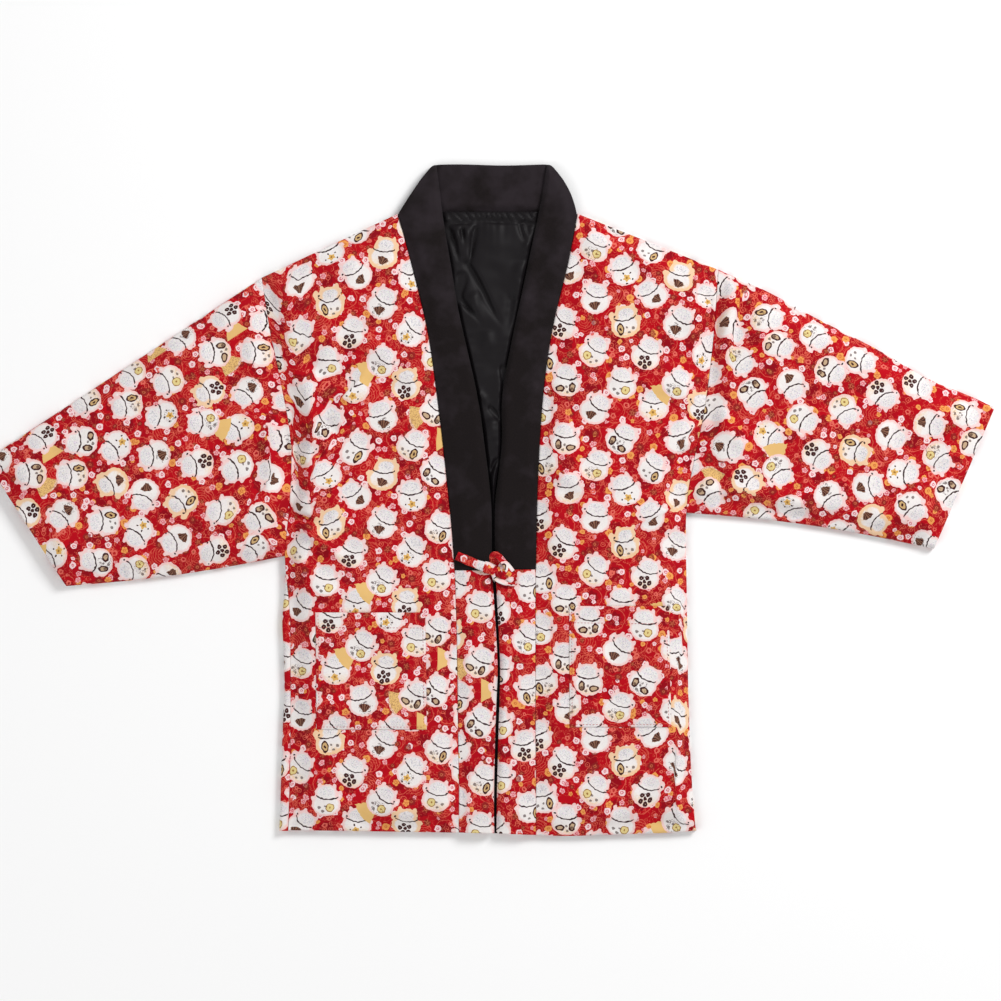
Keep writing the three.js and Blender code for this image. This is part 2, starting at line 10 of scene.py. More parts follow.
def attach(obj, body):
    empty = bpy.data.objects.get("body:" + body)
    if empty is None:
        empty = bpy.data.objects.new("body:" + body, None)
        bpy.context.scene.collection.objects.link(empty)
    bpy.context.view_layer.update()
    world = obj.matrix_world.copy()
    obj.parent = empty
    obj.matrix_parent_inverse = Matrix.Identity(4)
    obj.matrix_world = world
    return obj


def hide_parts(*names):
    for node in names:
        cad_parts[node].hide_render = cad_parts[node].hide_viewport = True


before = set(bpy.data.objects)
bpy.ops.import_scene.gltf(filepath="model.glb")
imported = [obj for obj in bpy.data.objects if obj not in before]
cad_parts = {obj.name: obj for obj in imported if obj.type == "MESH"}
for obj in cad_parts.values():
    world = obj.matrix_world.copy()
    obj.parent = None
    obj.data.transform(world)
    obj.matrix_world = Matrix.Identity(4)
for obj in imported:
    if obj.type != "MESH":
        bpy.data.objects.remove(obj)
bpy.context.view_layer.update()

# =====================================================================================
# The printed cotton of the jacket: a red plain weave with white beckoning cats, beige fans,
# small blossoms and fine wave lines. Its pattern lies on each piece's own "cloth" UV map, in
# metres of cloth, so it keeps its size and turns with the grain of the piece.
MM = 0.001
THREADS_PER_MM = 1.9


class Wiring:
    """Adds shader nodes to a tree and wires them, giving back each node's output."""

    def __init__(self, tree):
        self.tree = tree

    def add(self, kind, *values, out=0, **settings):
        node = self.tree.nodes.new(kind)
        for name, value in settings.items():
            setattr(node, name, value)
        for socket, value in zip(node.inputs, values):
            self.put(socket, value)
        return node.outputs[out]

    def put(self, socket, value):
        if value is None:
            return
        if isinstance(value, bpy.types.NodeSocket):
            self.tree.links.new(value, socket)
        else:
            socket.default_value = value

    def math(self, operation, *values):
        return self.add("ShaderNodeMath", *values, operation=operation)

    def vector(self, operation, *values):
        out = 1 if operation in ("LENGTH", "DISTANCE", "DOT_PRODUCT") else 0
        return self.add("ShaderNodeVectorMath", *values, operation=operation, out=out)

    def times(self, first, second):
        return self.math("MULTIPLY", first, second)

    def most(self, first, second):
        return self.math("MAXIMUM", first, second)

    def least(self, first, second):
        return self.math("MINIMUM", first, second)

    def away(self, value, middle):
        """How far a value is from a middle one, either way."""
        return self.math("ABSOLUTE", self.math("SUBTRACT", value, middle))

    def draw(self, chance, spread):
        """Another random number from 0 to 1, made from one that is there already."""
        return self.math("FRACT", self.math("MULTIPLY", chance, spread))

    def below(self, value, limit):
        return self.math("LESS_THAN", value, limit)

    def above(self, value, limit):
        return self.math("GREATER_THAN", value, limit)

    def between(self, value, low, high):
        return self.times(self.above(value, low), self.below(value, high))

    def noise(self, at, scale, detail, roughness, **settings):
        return self.add("ShaderNodeTexNoise", at, None, scale, detail, roughness, **settings)

    def ramp(self, value, low, high, first, last):
        """Turns low to high into first to last, and stays within them."""
        return self.add("ShaderNodeMapRange", value, low, high, first, last)

    def cloth(self):
        return self.add("ShaderNodeUVMap", uv_map="cloth")

    def mix(self, share, first, second):
        node = self.tree.nodes.new("ShaderNodeMix")
        node.data_type = "RGBA"
        for socket, value in ((node.inputs[0], share), (node.inputs[6], first), (node.inputs[7], second)):
            self.put(socket, value)
        return node.outputs[2]

    def parts(self, vector):
        node = self.tree.nodes.new("ShaderNodeSeparateXYZ")
        self.put(node.inputs[0], vector)
        return node.outputs[0], node.outputs[1], node.outputs[2]

    def random(self, vector):
        """Three random numbers from 0 to 1 for each whole-numbered vector."""
        node = self.tree.nodes.new("ShaderNodeTexWhiteNoise")
        node.noise_dimensions = "3D"
        self.put(node.inputs["Vector"], vector)
        return node.outputs["Color"]

    def oval(self, at, centre, size):
        """Distance outside an oval, in millimetres, negative inside."""
        scale = [1 / size[0], 1 / size[1], 0]
        shift = [-centre[0] / size[0], -centre[1] / size[1], 0]
        reach = self.vector("LENGTH", self.vector("MULTIPLY_ADD", at, scale, shift))
        return self.math("MULTIPLY_ADD", reach, min(size), -min(size))

    def cell(self, at, size, start, repeat, seed, loose, turn):
        """Splits the cloth into cells: each one's own turned coordinates, and its three random numbers."""
        scaled = self.vector(
            "MULTIPLY_ADD", at, [1 / size[0], 1 / size[1], 0], [start[0] / size[0], start[1] / size[1], 0]
        )
        count = self.vector("WRAP", self.vector("FLOOR", scaled), [repeat[0], repeat[1], 1], [0, 0, 0])
        chance = self.random(self.vector("ADD", count, [seed, seed * 1.7, seed * 0.3]))
        cell, to_middle = [size[0], size[1], 0], [-size[0] / 2, -size[1] / 2, 0]
        inside = self.vector("MULTIPLY_ADD", self.vector("FRACTION", scaled), cell, to_middle)
        moved = self.vector("MULTIPLY_ADD", chance, [-2 * loose, -2 * loose, 0], inside)
        moved = self.vector("ADD", moved, [loose, loose, 0])
        red, green, blue = self.parts(chance)
        angle = self.math("MULTIPLY_ADD", blue, 2 * turn, -turn)
        turned = self.add("ShaderNodeVectorRotate", moved, rotation_type="Z_AXIS")
        self.put(turned.node.inputs["Angle"], angle)
        return turned, red, green, blue


def srgb(red, green, blue):
    """A colour given as the eye reads it, 0 to 255, as the shader wants it."""
    seen = (red / 255, green / 255, blue / 255)
    return (*(c / 12.92 if c <= 0.04045 else ((c + 0.055) / 1.055) ** 2.4 for c in seen), 1)


def make_cat_group():
    """One printed cat with the fan behind it, about 40 mm tall: where it covers the cloth, and its colour."""
    tree = bpy.data.node_groups.new("printed cat", "ShaderNodeTree")
    for name, kind, way in (
        ("At", "NodeSocketVector", "INPUT"),
        ("Kind", "NodeSocketFloat", "INPUT"),
        ("Fan", "NodeSocketFloat", "INPUT"),
        ("Cover", "NodeSocketFloat", "OUTPUT"),
        ("Colour", "NodeSocketColor", "OUTPUT"),
    ):
        tree.interface.new_socket(name, in_out=way, socket_type=kind)
    w = Wiring(tree)
    start = tree.nodes.new("NodeGroupInput")
    kind, fan = start.outputs[1], start.outputs[2]
    flip = w.add("ShaderNodeCombineXYZ", w.math("MULTIPLY_ADD", w.above(fan, 0.5), -1.78, 0.89), 0.89, 0.0)
    at = w.vector("MULTIPLY", start.outputs[0], flip)
    x, y, _ = w.parts(at)
    own = w.add("ShaderNodeCombineXYZ", x, y, w.times(kind, 37.0))
    jog = w.noise(own, 0.3, 0.0, 0.5, out=1)
    at = w.vector("MULTIPLY_ADD", jog, [2.0, 2.0, 0], w.vector("ADD", at, [-1.0, -1.0, 0]))
    x, y, _ = w.parts(at)

    # The outline: a bell of a body, a head that leans a little, rounded ears, one raised paw.
    lean = w.math("MULTIPLY_ADD", w.draw(kind, 7.3), 5.0, -2.5)
    head_at = w.vector("SUBTRACT", at, w.add("ShaderNodeCombineXYZ", lean, 0.0, 0.0))
    hx, hy, _ = w.parts(head_at)
    folded = w.add("ShaderNodeCombineXYZ", w.math("ABSOLUTE", hx), hy, 0.0)
    body = w.oval(at, (0, -5.0), (16.2, 13.4))
    head = w.oval(head_at, (0, 7.8), (12.8, 9.2))
    ear = w.oval(folded, (8.2, 14.9), (2.4, 3.4))
    paw = w.oval(at, (14.0, 7.0), (3.0, 5.2))
    hand = w.oval(at, (-14.8, 0.6), (3.2, 2.6))
    shape = w.math("SMOOTH_MIN", body, head, 3.5)
    shape = w.math("SMOOTH_MIN", shape, ear, 1.8)
    shape = w.math("SMOOTH_MIN", shape, w.least(paw, hand), 2.6)
    inside = w.below(shape, 0)

    # Fur: white, mottled with pale blue, pink and grey, most of all on the head.
    mottle_node = w.noise(own, 0.55, 2.0, 0.65).node
    mottle = mottle_node.outputs[0]
    tint = w.vector("MULTIPLY_ADD", mottle_node.outputs[1], [0.75, 0.75, 0.75], [0.26, 0.27, 0.31])
    shade = w.math("MULTIPLY_ADD", w.math("SUBTRACT", mottle, 0.46), 2.4, w.times(y, 0.022))
    fur = w.mix(w.add("ShaderNodeClamp", shade, 0.0, 0.8), srgb(240, 235, 232), tint)
    low = w.ramp(y, -5.0, -14.0, 0.0, 1.0)
    is_golden = w.above(w.draw(kind, 5.3), 0.5)
    golden = w.times(is_golden, w.ramp(mottle, 0.4, 0.56, 0.2, 0.9))
    fur = w.mix(w.times(low, golden), fur, srgb(240, 206, 168))
    is_peach = w.above(w.draw(kind, 11.7), 0.91)
    wide = w.math("MULTIPLY_ADD", is_peach, 1.1, 1.95)
    edge = w.ramp(w.math("ADD", shape, wide), -0.7, 0.7, 0.0, 1.0)
    rim = w.mix(is_peach, srgb(245, 202, 198), srgb(242, 198, 150))
    fur = w.mix(w.times(edge, 0.85), fur, rim)

    # A faint mottle on the head, then the marks on the belly, of six kinds: a ring of spots, two eyelets,
    # a coin, a small fan, a bloom and a leaf.
    brown, soft_brown = srgb(62, 34, 32), srgb(138, 98, 76)
    scribble = w.noise(own, 0.85, 1.0, 0.5)
    on_head = w.ramp(w.oval(head_at, (0, 8.8), (9.6, 6.2)), 0.0, -2.0, 0.0, 0.45)
    fur = w.mix(w.times(w.above(scribble, 0.58), on_head), fur, srgb(132, 142, 160))

    belly = w.vector("ADD", at, [-0.8, 9.8, 0])
    bx, by, _ = w.parts(belly)
    reach = w.vector("LENGTH", belly)
    turn = w.math("ARCTAN2", by, bx)
    sector = w.math("WRAP", turn, math.pi / 5, -math.pi / 5)
    petal_at = w.add(
        "ShaderNodeCombineXYZ", w.times(reach, w.math("COSINE", sector)),
        w.times(reach, w.math("SINE", sector)), 0.0,
    )
    spot = w.least(w.vector("DISTANCE", petal_at, [5.4, 0, 0]), w.math("ADD", reach, 0.4))
    spots = w.times(w.between(spot, 0.3, 2.6), w.below(kind, 0.24))
    eyelet = w.least(w.oval(at, (-7.6, -7.4), (3.3, 5.2)), w.oval(at, (5.8, -10.6), (5.0, 3.2)))
    is_eyelet = w.between(kind, 0.24, 0.42)
    eyelets = w.times(w.between(eyelet, -1.1, 0.4), is_eyelet)
    coin = w.vector("DISTANCE", at, [4.6, -8.6, 0])
    is_coin = w.between(kind, 0.42, 0.58)
    coin_line = w.times(w.most(w.between(coin, 4.0, 4.9), w.below(coin, 1.1)), is_coin)
    fold_at = w.vector("ADD", at, [2.4, 16.0, 0])
    fx, fy, _ = w.parts(fold_at)
    fold_turn = w.away(w.math("ARCTAN2", fy, fx), 1.2)
    fan_reach = w.between(w.vector("LENGTH", fold_at), 3.0, 11.6)
    small_fan = w.times(fan_reach, w.below(fold_turn, 0.62))
    small_fan = w.times(small_fan, w.between(kind, 0.58, 0.72))
    bloom = w.math("MULTIPLY_ADD", w.math("COSINE", w.times(turn, 5.0)), -0.8, reach)
    is_bloom = w.between(kind, 0.72, 0.82)
    blooms = w.times(w.below(bloom, 3.8), is_bloom)
    leaf = w.oval(at, (6.2, -8.2), (3.6, 6.2))
    is_leaf = w.above(kind, 0.82)
    leaves = w.times(w.most(w.between(leaf, -0.9, 0.3), w.below(leaf, -2.4)), is_leaf)
    dots = w.least(w.oval(at, (-7.4, -9.0), (1.7, 1.5)), w.oval(at, (-2.8, -13.2), (1.8, 1.5)))
    dots = w.least(dots, w.oval(at, (-0.8, -7.6), (1.5, 1.3)))
    has_dots = w.most(is_leaf, w.most(is_eyelet, is_coin))
    dots = w.times(w.below(dots, 0), has_dots)
    beads = w.times(w.below(w.vector("DISTANCE", petal_at, [6.6, 0, 0]), 1.05), is_bloom)
    blots = w.noise(own, 0.36, 1.0, 0.5)
    curl_line = w.below(w.away(blots, 0.5), 0.03)
    curls = w.times(curl_line, w.between(bloom, 4.4, 7.6))
    curls = w.times(curls, w.above(w.draw(kind, 17.0), 0.6))
    dark = w.most(w.most(spots, eyelets), w.most(leaves, beads))
    dark = w.most(dark, w.times(w.most(dots, curls), 0.75))
    fur = w.mix(w.times(w.below(coin, 4.9), is_coin), fur, srgb(228, 208, 142))
    fur = w.mix(w.times(w.below(eyelet, 0), is_eyelet), fur, srgb(196, 168, 136))
    fur = w.mix(w.times(w.below(leaf, 0), is_leaf), fur, srgb(206, 172, 120))
    fur = w.mix(blooms, fur, srgb(222, 176, 98))
    pleats = w.above(w.math("SINE", w.times(fold_turn, 26.0)), 0.3)
    fur = w.mix(small_fan, fur, w.mix(pleats, brown, soft_brown))
    gold_line = w.most(coin_line, w.times(blooms, w.below(reach, 1.2)))
    fur = w.mix(gold_line, fur, srgb(160, 116, 56))
    fur = w.mix(dark, fur, brown)

    # The collar round its neck, as one dark arc, with a dot at each end.
    arc = w.away(w.vector("DISTANCE", at, [0, 22, 0]), 21.8)
    arc = w.times(w.below(arc, 0.75), w.below(w.math("ABSOLUTE", x), 12.6))
    arc = w.times(arc, w.below(y, 12))
    cord_ends = w.below(w.vector("DISTANCE", folded, [12.6, 6.4, 0]), 1.1)
    cord_ends = w.times(cord_ends, w.above(fan, 0.3))
    fur = w.mix(w.most(arc, cord_ends), fur, srgb(56, 40, 42))

    # The fan behind it: a wedge of plain or speckled beige.
    q = w.add("ShaderNodeVectorRotate", at, rotation_type="Z_AXIS")
    w.put(q.node.inputs["Angle"], w.math("MULTIPLY_ADD", kind, 3.9, -0.35))
    qx, qy, _ = w.parts(q)
    far = w.vector("LENGTH", q)
    spread = w.math("ARCTAN2", qy, qx)
    in_fan = w.times(w.below(far, 31.0), w.below(w.math("ABSOLUTE", spread), 0.47))
    in_fan = w.times(in_fan, w.above(w.draw(fan, 5.0), 0.78))
    is_speckled = w.above(w.draw(fan, 3.0), 0.6)
    border = w.times(w.above(far, 29.0), is_speckled)
    speckle = w.times(w.times(w.above(scribble, 0.56), is_speckled), 0.6)
    fan_colour = w.mix(w.times(mottle, 0.5), srgb(232, 186, 112), srgb(226, 196, 138))
    fan_colour = w.mix(speckle, w.mix(border, fan_colour, srgb(238, 196, 170)), srgb(150, 100, 74))

    end = tree.nodes.new("NodeGroupOutput")
    w.put(end.inputs[0], w.most(inside, in_fan))
    w.put(end.inputs[1], w.mix(inside, fan_colour, fur))
    return tree


def finish_print(tree, w, weave):
    """Colours for the whole print, from the piece's cloth coordinates."""
    uv = w.cloth()
    at = w.vector("SCALE", uv)
    w.put(at.node.inputs["Scale"], 1 / MM)
    jog = w.noise(at, 0.22, 1.0, 0.5, out=1, noise_dimensions="2D")
    loose_at = w.vector("MULTIPLY_ADD", jog, [2.4, 2.4, 0], w.vector("ADD", at, [-1.2, -1.2, 0]))

    # Ground: crimson, with darker rounds, patches of small orange rings, and fine orange line work.
    patch_node = w.noise(at, 0.026, 1.0, 0.5, noise_dimensions="2D").node
    patch = patch_node.outputs[0]
    tone = w.ramp(patch, 0.38, 0.62, 0.0, 0.75)
    ground = w.mix(tone, srgb(184, 0, 20), srgb(158, 0, 20))
    round_at, round_a, round_b, _ = w.cell(loose_at, (31, 29), (7, 11), (20, 9), 3, 4.0, 3.1)
    rx, ry, _ = w.parts(round_at)
    round_out = w.vector("LENGTH", round_at)
    lobes = w.math("COSINE", w.times(w.math("ARCTAN2", ry, rx), 8.0))
    round_edge = w.math("MULTIPLY_ADD", lobes, -0.8, round_out)
    rounds = w.times(w.below(round_edge, 8.6), w.above(round_a, 0.45))
    ground = w.mix(w.times(rounds, 0.7), ground, srgb(128, 0, 18))
    orange = srgb(228, 104, 82)
    rings = w.add("ShaderNodeTexVoronoi", loose_at, None, 0.105, voronoi_dimensions="2D")
    ring_line = w.most(w.between(rings, 0.24, 0.32), w.below(rings, 0.08))
    ring_line = w.times(ring_line, w.ramp(patch, 0.53, 0.58, 0.0, 0.85))
    ground = w.mix(ring_line, ground, orange)
    stray = w.noise(at, 0.085, 3.0, 0.62, noise_dimensions="2D")
    stray_line = w.below(w.away(stray, 0.5), 0.009)
    ground = w.mix(w.times(stray_line, 0.75), ground, orange)
    ripple = w.above(w.math("SINE", w.times(w.vector("DISTANCE", round_at, [0, -7, 0]), 2.1)), 0.7)
    ripple = w.times(w.times(ripple, w.below(round_out, 12.6)), w.below(round_a, 0.28))
    ground = w.mix(w.times(ripple, 0.6), ground, orange)
    loop = w.times(w.between(round_out, 12.6, 13.5), w.above(round_b, 0.4))
    ground = w.mix(w.times(loop, 0.65), ground, orange)

    # Small blossoms, discs and rings, of four kinds by chance. Each layer: size of its cells, where they
    # start, its seed, how loosely they lie.
    for size, start, seed, loose in (
        ((15.4, 14.6), (5, 3), 31, 4.4), ((18.6, 17.4), (2, 5), 11, 4.2), ((25.5, 24.5), (9, 14), 23, 6.0),
    ):
        bud_at, pick, other, _ = w.cell(loose_at, size, start, (18, 8), seed, loose, 0.9)
        if size[0] < 16:
            bud_at = w.vector("MULTIPLY", bud_at, [1.55, 1.55, 0])
            pick = w.math("MULTIPLY_ADD", pick, 0.9, 0.3)
        bx, by, _ = w.parts(bud_at)
        out = w.vector("LENGTH", bud_at)
        petal = w.math("COSINE", w.times(w.math("ARCTAN2", by, bx), 5.0))
        edge = w.math("MULTIPLY_ADD", other, 0.9, w.math("MULTIPLY_ADD", petal, -0.22, out))
        veins = w.times(w.below(petal, -0.7), w.above(out, 2.4))
        veins = w.times(veins, w.above(other, 0.6))
        heart = w.most(w.between(out, 0.9, 1.9), veins)
        pale = w.times(w.below(edge, 4.2), w.below(pick, 0.42))
        gold = w.times(w.below(edge, 4.9), w.between(pick, 0.42, 0.52))
        deep = w.times(w.below(edge, 5.0), w.between(pick, 0.52, 0.72))
        hoop = w.times(w.between(edge, 1.9, 3.7), w.between(pick, 0.72, 0.97))
        paleness = w.mix(w.above(other, 0.6), srgb(246, 214, 216), srgb(240, 176, 180))
        ground = w.mix(pale, ground, w.mix(w.times(heart, 0.8), paleness, srgb(200, 50, 66)))
        gold_tone = w.mix(w.times(heart, 0.75), srgb(236, 158, 84), srgb(190, 84, 40))
        ground = w.mix(gold, ground, gold_tone)
        deep_tone = w.mix(heart, srgb(134, 30, 28), srgb(188, 106, 70))
        ground = w.mix(w.times(deep, 0.8), ground, deep_tone)
        ground = w.mix(hoop, ground, srgb(224, 104, 90))

    # Two layers of cats, each in its own cells.
    cats = make_cat_group()
    for size, start, seed in (((69, 68.8), (34, 17), 5), ((69, 68.8), (0, -17), 8)):
        cat_at, pick, other, _ = w.cell(at, size, start, (5, 4), seed, 5.2, 0.7)
        cat = tree.nodes.new("ShaderNodeGroup")
        cat.node_tree = cats
        w.put(cat.inputs[0], cat_at)
        w.put(cat.inputs[1], pick)
        w.put(cat.inputs[2], other)
        ground = w.mix(cat.outputs[0], ground, cat.outputs[1])

    # The weave shows as a faint unevenness of colour.
    worn = w.noise(at, 0.035, 3.0, 0.6)
    ground = w.mix(w.ramp(worn, 0.35, 0.75, 0.0, 0.10), ground, srgb(110, 0, 16))
    return w.mix(w.times(weave, 0.08), ground, srgb(70, 4, 10))


def make_weave(w):
    """Height of a plain weave on the piece's cloth coordinates, from 0 in the gaps to 1 on the threads."""
    uv = w.cloth()
    scaled = w.vector("SCALE", uv)
    w.put(scaled.node.inputs["Scale"], 1 / MM * THREADS_PER_MM * math.pi)
    u, v, _ = w.parts(scaled)
    over = w.times(w.math("SINE", u), w.math("SINE", v))
    return w.math("SUBTRACT", 1.0, w.math("ABSOLUTE", over))


def make_cloth(name, roughness, sheen, weave_depth):
    """A cloth material with its weave as bump. Gives the material, its wiring and its shader."""
    material = bpy.data.materials.new(name)
    material.use_nodes = True
    tree = material.node_tree
    shader = tree.nodes["Principled BSDF"]
    shader.inputs["Roughness"].default_value = roughness
    shader.inputs["Sheen Weight"].default_value = sheen
    shader.inputs["Sheen Roughness"].default_value = 0.5
    shader.inputs["Specular IOR Level"].default_value = 0.16
    w = Wiring(tree)
    weave = make_weave(w)
    bump = tree.nodes.new("ShaderNodeBump")
    bump.inputs["Strength"].default_value = 0.35
    bump.inputs["Distance"].default_value = weave_depth
    w.put(bump.inputs["Height"], weave)
    w.put(shader.inputs["Normal"], bump.outputs[0])
    return material, w, shader, weave


printed_cotton, wiring, shader, weave = make_cloth("printed cotton", 0.9, 0.02, 0.00012)
wiring.put(shader.inputs["Base Color"], finish_print(printed_cotton.node_tree, wiring, weave))

# The lining is a smooth black cloth with a low sheen, on the inside of every panel.
lining_cloth, _, shader, _ = make_cloth("black lining", 0.56, 0.0, 0.00004)
shader.inputs["Base Color"].default_value = srgb(15, 11, 14)
shader.inputs["Specular IOR Level"].default_value = 0.19

# =====================================================================================
# The back: one wadded panel, printed cotton outside and black lining inside. It lies flat on its
# outside. Its edges follow the sleeves and side seams of both fronts, so their outlines come first.
SEAM_THICK = 4.5
WAD_BACK = 9.0
SEAM_REACH = 30.0
HEM_Y = -418.0
ARMPIT_ROW = 5
EDGE_ROLL = 3.5  # how tightly the edge of a wadded panel rolls
BODY_LONG = 780.0  # along a side seam, roughly, as the body panels are divided
BACK_WIDE = 510.0
BACK_ROLL = 2.1  # how far the edge of the back rolls up from below
BACK_DROP = 1.2  # and how far it rolls down from above

right_front_rows = [  # outer edge x, y, then the edge at the collar x, y, from the shoulder down
    (-285, 277.5, -115, 357.5), (-275, 212.5, -98.5, 297.5), (-264, 160, -78, 212.5), (-249, 75, -66, 131),
    (-250, 0, -55, 37.5), (-256, -70, -46, -56), (-250, -140, -42.5, -140), (-249, -212, -41, -212),
    (-249, -286, -40, -286), (-250, -350, -39, -350), (-252, HEM_Y + 5, -39, HEM_Y + 3),
]
left_front_rows = [
    (285, 287.5, 109, 357.5), (281, 228, 97.5, 297.5), (276, 175, 77.5, 212.5), (267, 108, 66, 131),
    (254, 46, 60, 37.5), (245, -16, 57.5, -50), (246, -132, 57, -132), (247, -208, 57, -208),
    (249, -283, 57, -283), (252, -350, 57.5, -350), (258, HEM_Y + 5, 57.5, HEM_Y - 2),
]
LAST_ROW = len(right_front_rows) - 1
NECK_Y = 357.5


def ease(t):
    t = np.clip(t, 0, 1)
    return t * t * (3 - 2 * t)


def mix(a, b, t):
    return a + (b - a) * t


def smooth_curve(points):
    """A curve through the points, where t counts them from 0."""
    points = np.array(points, float)

    def at(t):
        t = np.clip(np.asarray(t, float), 0, len(points) - 1)
        i = np.minimum(t.astype(int), len(points) - 2)
        s = (t - i)[..., None]
        p0, p1 = points[np.maximum(i - 1, 0)], points[i]
        p2, p3 = points[i + 1], points[np.minimum(i + 2, len(points) - 1)]
        v0, v1 = (p2 - p0) / 2, (p3 - p1) / 2
        return (2 * p1 - 2 * p2 + v0 + v1) * s**3 + (-3 * p1 + 3 * p2 - 2 * v0 - v1) * s**2 + v0 * s + p1

    return at


def across_at(curve, rows):
    """The x of a downward curve at a height y."""
    samples = curve(np.linspace(0, rows, rows * 40 + 1))
    return lambda y: np.interp(-np.asarray(y, float), -samples[:, 1], samples[:, 0])


def outline(rows):
    side = smooth_curve([row[:2] for row in rows])
    neck = smooth_curve([row[2:] for row in rows])
    return side, neck, across_at(side, LAST_ROW), across_at(neck, LAST_ROW)


right_side, _, right_side_x, _ = outline(right_front_rows)
left_side, _, left_side_x, _ = outline(left_front_rows)


def shoulder_y(x):
    r, l = right_front_rows[0], left_front_rows[0]
    on_right = mix(r[1], NECK_Y, (x - r[0]) / (r[2] - r[0]))
    on_left = mix(l[1], NECK_Y, (x - l[0]) / (l[2] - l[0]))
    return np.where(x < r[2], on_right, np.where(x > l[2], on_left, NECK_Y))


hem_points = smooth_curve([
    (-264, -412), (-160, -413.4), (-60, -415), (10, -416.4),
    (88, -419.4), (150, -417.8), (230, -415), (262, -412),
])(np.linspace(0, 7, 141))


def bottom_y(x):
    return np.interp(x, hem_points[:, 0], hem_points[:, 1])


def loft(*distances):
    """The share of its full thickness that wadded cloth has at its distances from seams."""
    least = np.minimum.reduce([np.broadcast_to(d, np.broadcast(*distances).shape) for d in distances])
    return ease(np.maximum(least, 0) / SEAM_REACH)


def rounded(reach, *distances):
    """How far a rolled edge of that radius has risen, from 0 at the edge to 1."""
    least = np.minimum.reduce([np.broadcast_to(d, np.broadcast(*distances).shape) for d in distances])
    return np.sqrt(1 - (1 - np.clip(least / reach, 0, 1)) ** 2)


def back_top(x, y):
    share = loft(x - right_side_x(y), left_side_x(y) - x, y - bottom_y(x), shoulder_y(x) - y)
    return mix(SEAM_THICK, WAD_BACK, share)


def stations(*marks, step=4.5, near=(0.6, 1.4, 2.6, 4.2, 6.4, 9.5)):
    """Places along a panel in millimetres: every mark, closer together beside the first and last."""
    start, end = marks[0], marks[-1]
    ends = [start, *(start + d for d in near), *(end - d for d in near), end]
    inner = sorted(set(marks[1:-1]) | {start + near[-1], end - near[-1]})
    for a, b in zip(inner, inner[1:]):
        ends += list(np.linspace(a, b, max(1, round((b - a) / step)) + 1)[1:-1])
    return np.array(sorted(set(np.round(ends + list(inner), 4))))


def place_print(x, y, z, axes, start, taken):
    """Cloth coordinates of a grid of points: its plan, let out where the cloth climbs or is folded away."""
    steps = [np.diff(np.stack([x, y, z], -1), axis=k) for k in (0, 1)]
    extra = [np.linalg.norm(s, axis=-1) - np.linalg.norm(s[..., :2], axis=-1) for s in steps]
    none = [np.zeros_like(np.take(e, [0], k)) for k, e in enumerate(extra)]
    run = [np.concatenate([none[k], np.cumsum(e, k)], k) for k, e in enumerate(extra)]
    run = [r - np.take(r, [r.shape[k] // 2], k) for k, r in enumerate(run)]
    down = np.sign(y[-1].mean() - y[0].mean())
    side = np.sign(x[:, -1].mean() - x[:, 0].mean())
    plan = np.stack([x + side * run[1] + taken[0], y + down * run[0] + taken[1]], -1)
    (ux, uy), (vx, vy) = axes
    return np.stack([plan @ [ux, uy] + start[0], plan @ [vx, vy] + start[1]], -1) * MM


def to_object(name, points, faces, uv, materials, material_index):
    """A mesh object with its cloth coordinates, given for each point or for each corner of each face."""
    mesh = bpy.data.meshes.new(name)
    mesh.from_pydata(points.tolist(), [], faces.tolist() if hasattr(faces, "tolist") else faces)
    layer = mesh.uv_layers.new(name="cloth")
    if len(uv) != len(mesh.loops):
        corners = np.empty(len(mesh.loops), int)
        mesh.loops.foreach_get("vertex_index", corners)
        uv = uv[corners]
    layer.data.foreach_set("uv", uv.ravel())
    for material in materials:
        mesh.materials.append(material)
    if material_index is not None:
        mesh.polygons.foreach_set("material_index", material_index)
    mesh.shade_smooth()
    mesh.update()
    piece = bpy.data.objects.new(name, mesh)
    bpy.context.collection.objects.link(piece)
    return piece


def sew(
    name, x, y, high, low, outside, inside,
    top_is_outside=True, axes=((1, 0), (0, 1)), start=(0, 0), taken=(0, 0), drawn=(0, 0),
):
    """A panel as one closed wall between two faces given on the same grid."""
    rows, across = x.shape
    count = rows * across
    ends = ((high, drawn), (low, (0, 0)))
    points = np.concatenate([np.stack([x + d[0], y + d[1], z], -1).reshape(-1, 3) for z, d in ends]) * MM
    k = (np.arange(rows - 1)[:, None] * across + np.arange(across - 1)).ravel()
    top = np.stack([k, k + 1, k + 1 + across, k + across], 1)
    low_faces = top[:, ::-1] + count
    ring = np.concatenate([
        np.arange(across), np.arange(1, rows) * across + across - 1,
        (rows - 1) * across + np.arange(across - 2, -1, -1), np.arange(rows - 2, -1, -1) * across,
    ])
    rim = np.stack([ring[:-1], ring[:-1] + count, ring[1:] + count, ring[1:]], 1)
    faces = np.concatenate([top, low_faces, rim])
    turned = (x[0, -1] - x[0, 0]) * (y[-1, 0] - y[0, 0]) - (y[0, -1] - y[0, 0]) * (x[-1, 0] - x[0, 0]) < 0
    if turned:
        faces = faces[:, ::-1]
    uv = np.concatenate([place_print(x, y, z, axes, start, taken).reshape(-1, 2) for z in (high, low)])
    lined = np.zeros(len(faces), int)
    lined[len(top):2 * len(top)] = 1
    if not top_is_outside:
        lined[:2 * len(top)] = 1 - lined[:2 * len(top)]
    return to_object(name, points, faces, uv, (outside, inside), lined)


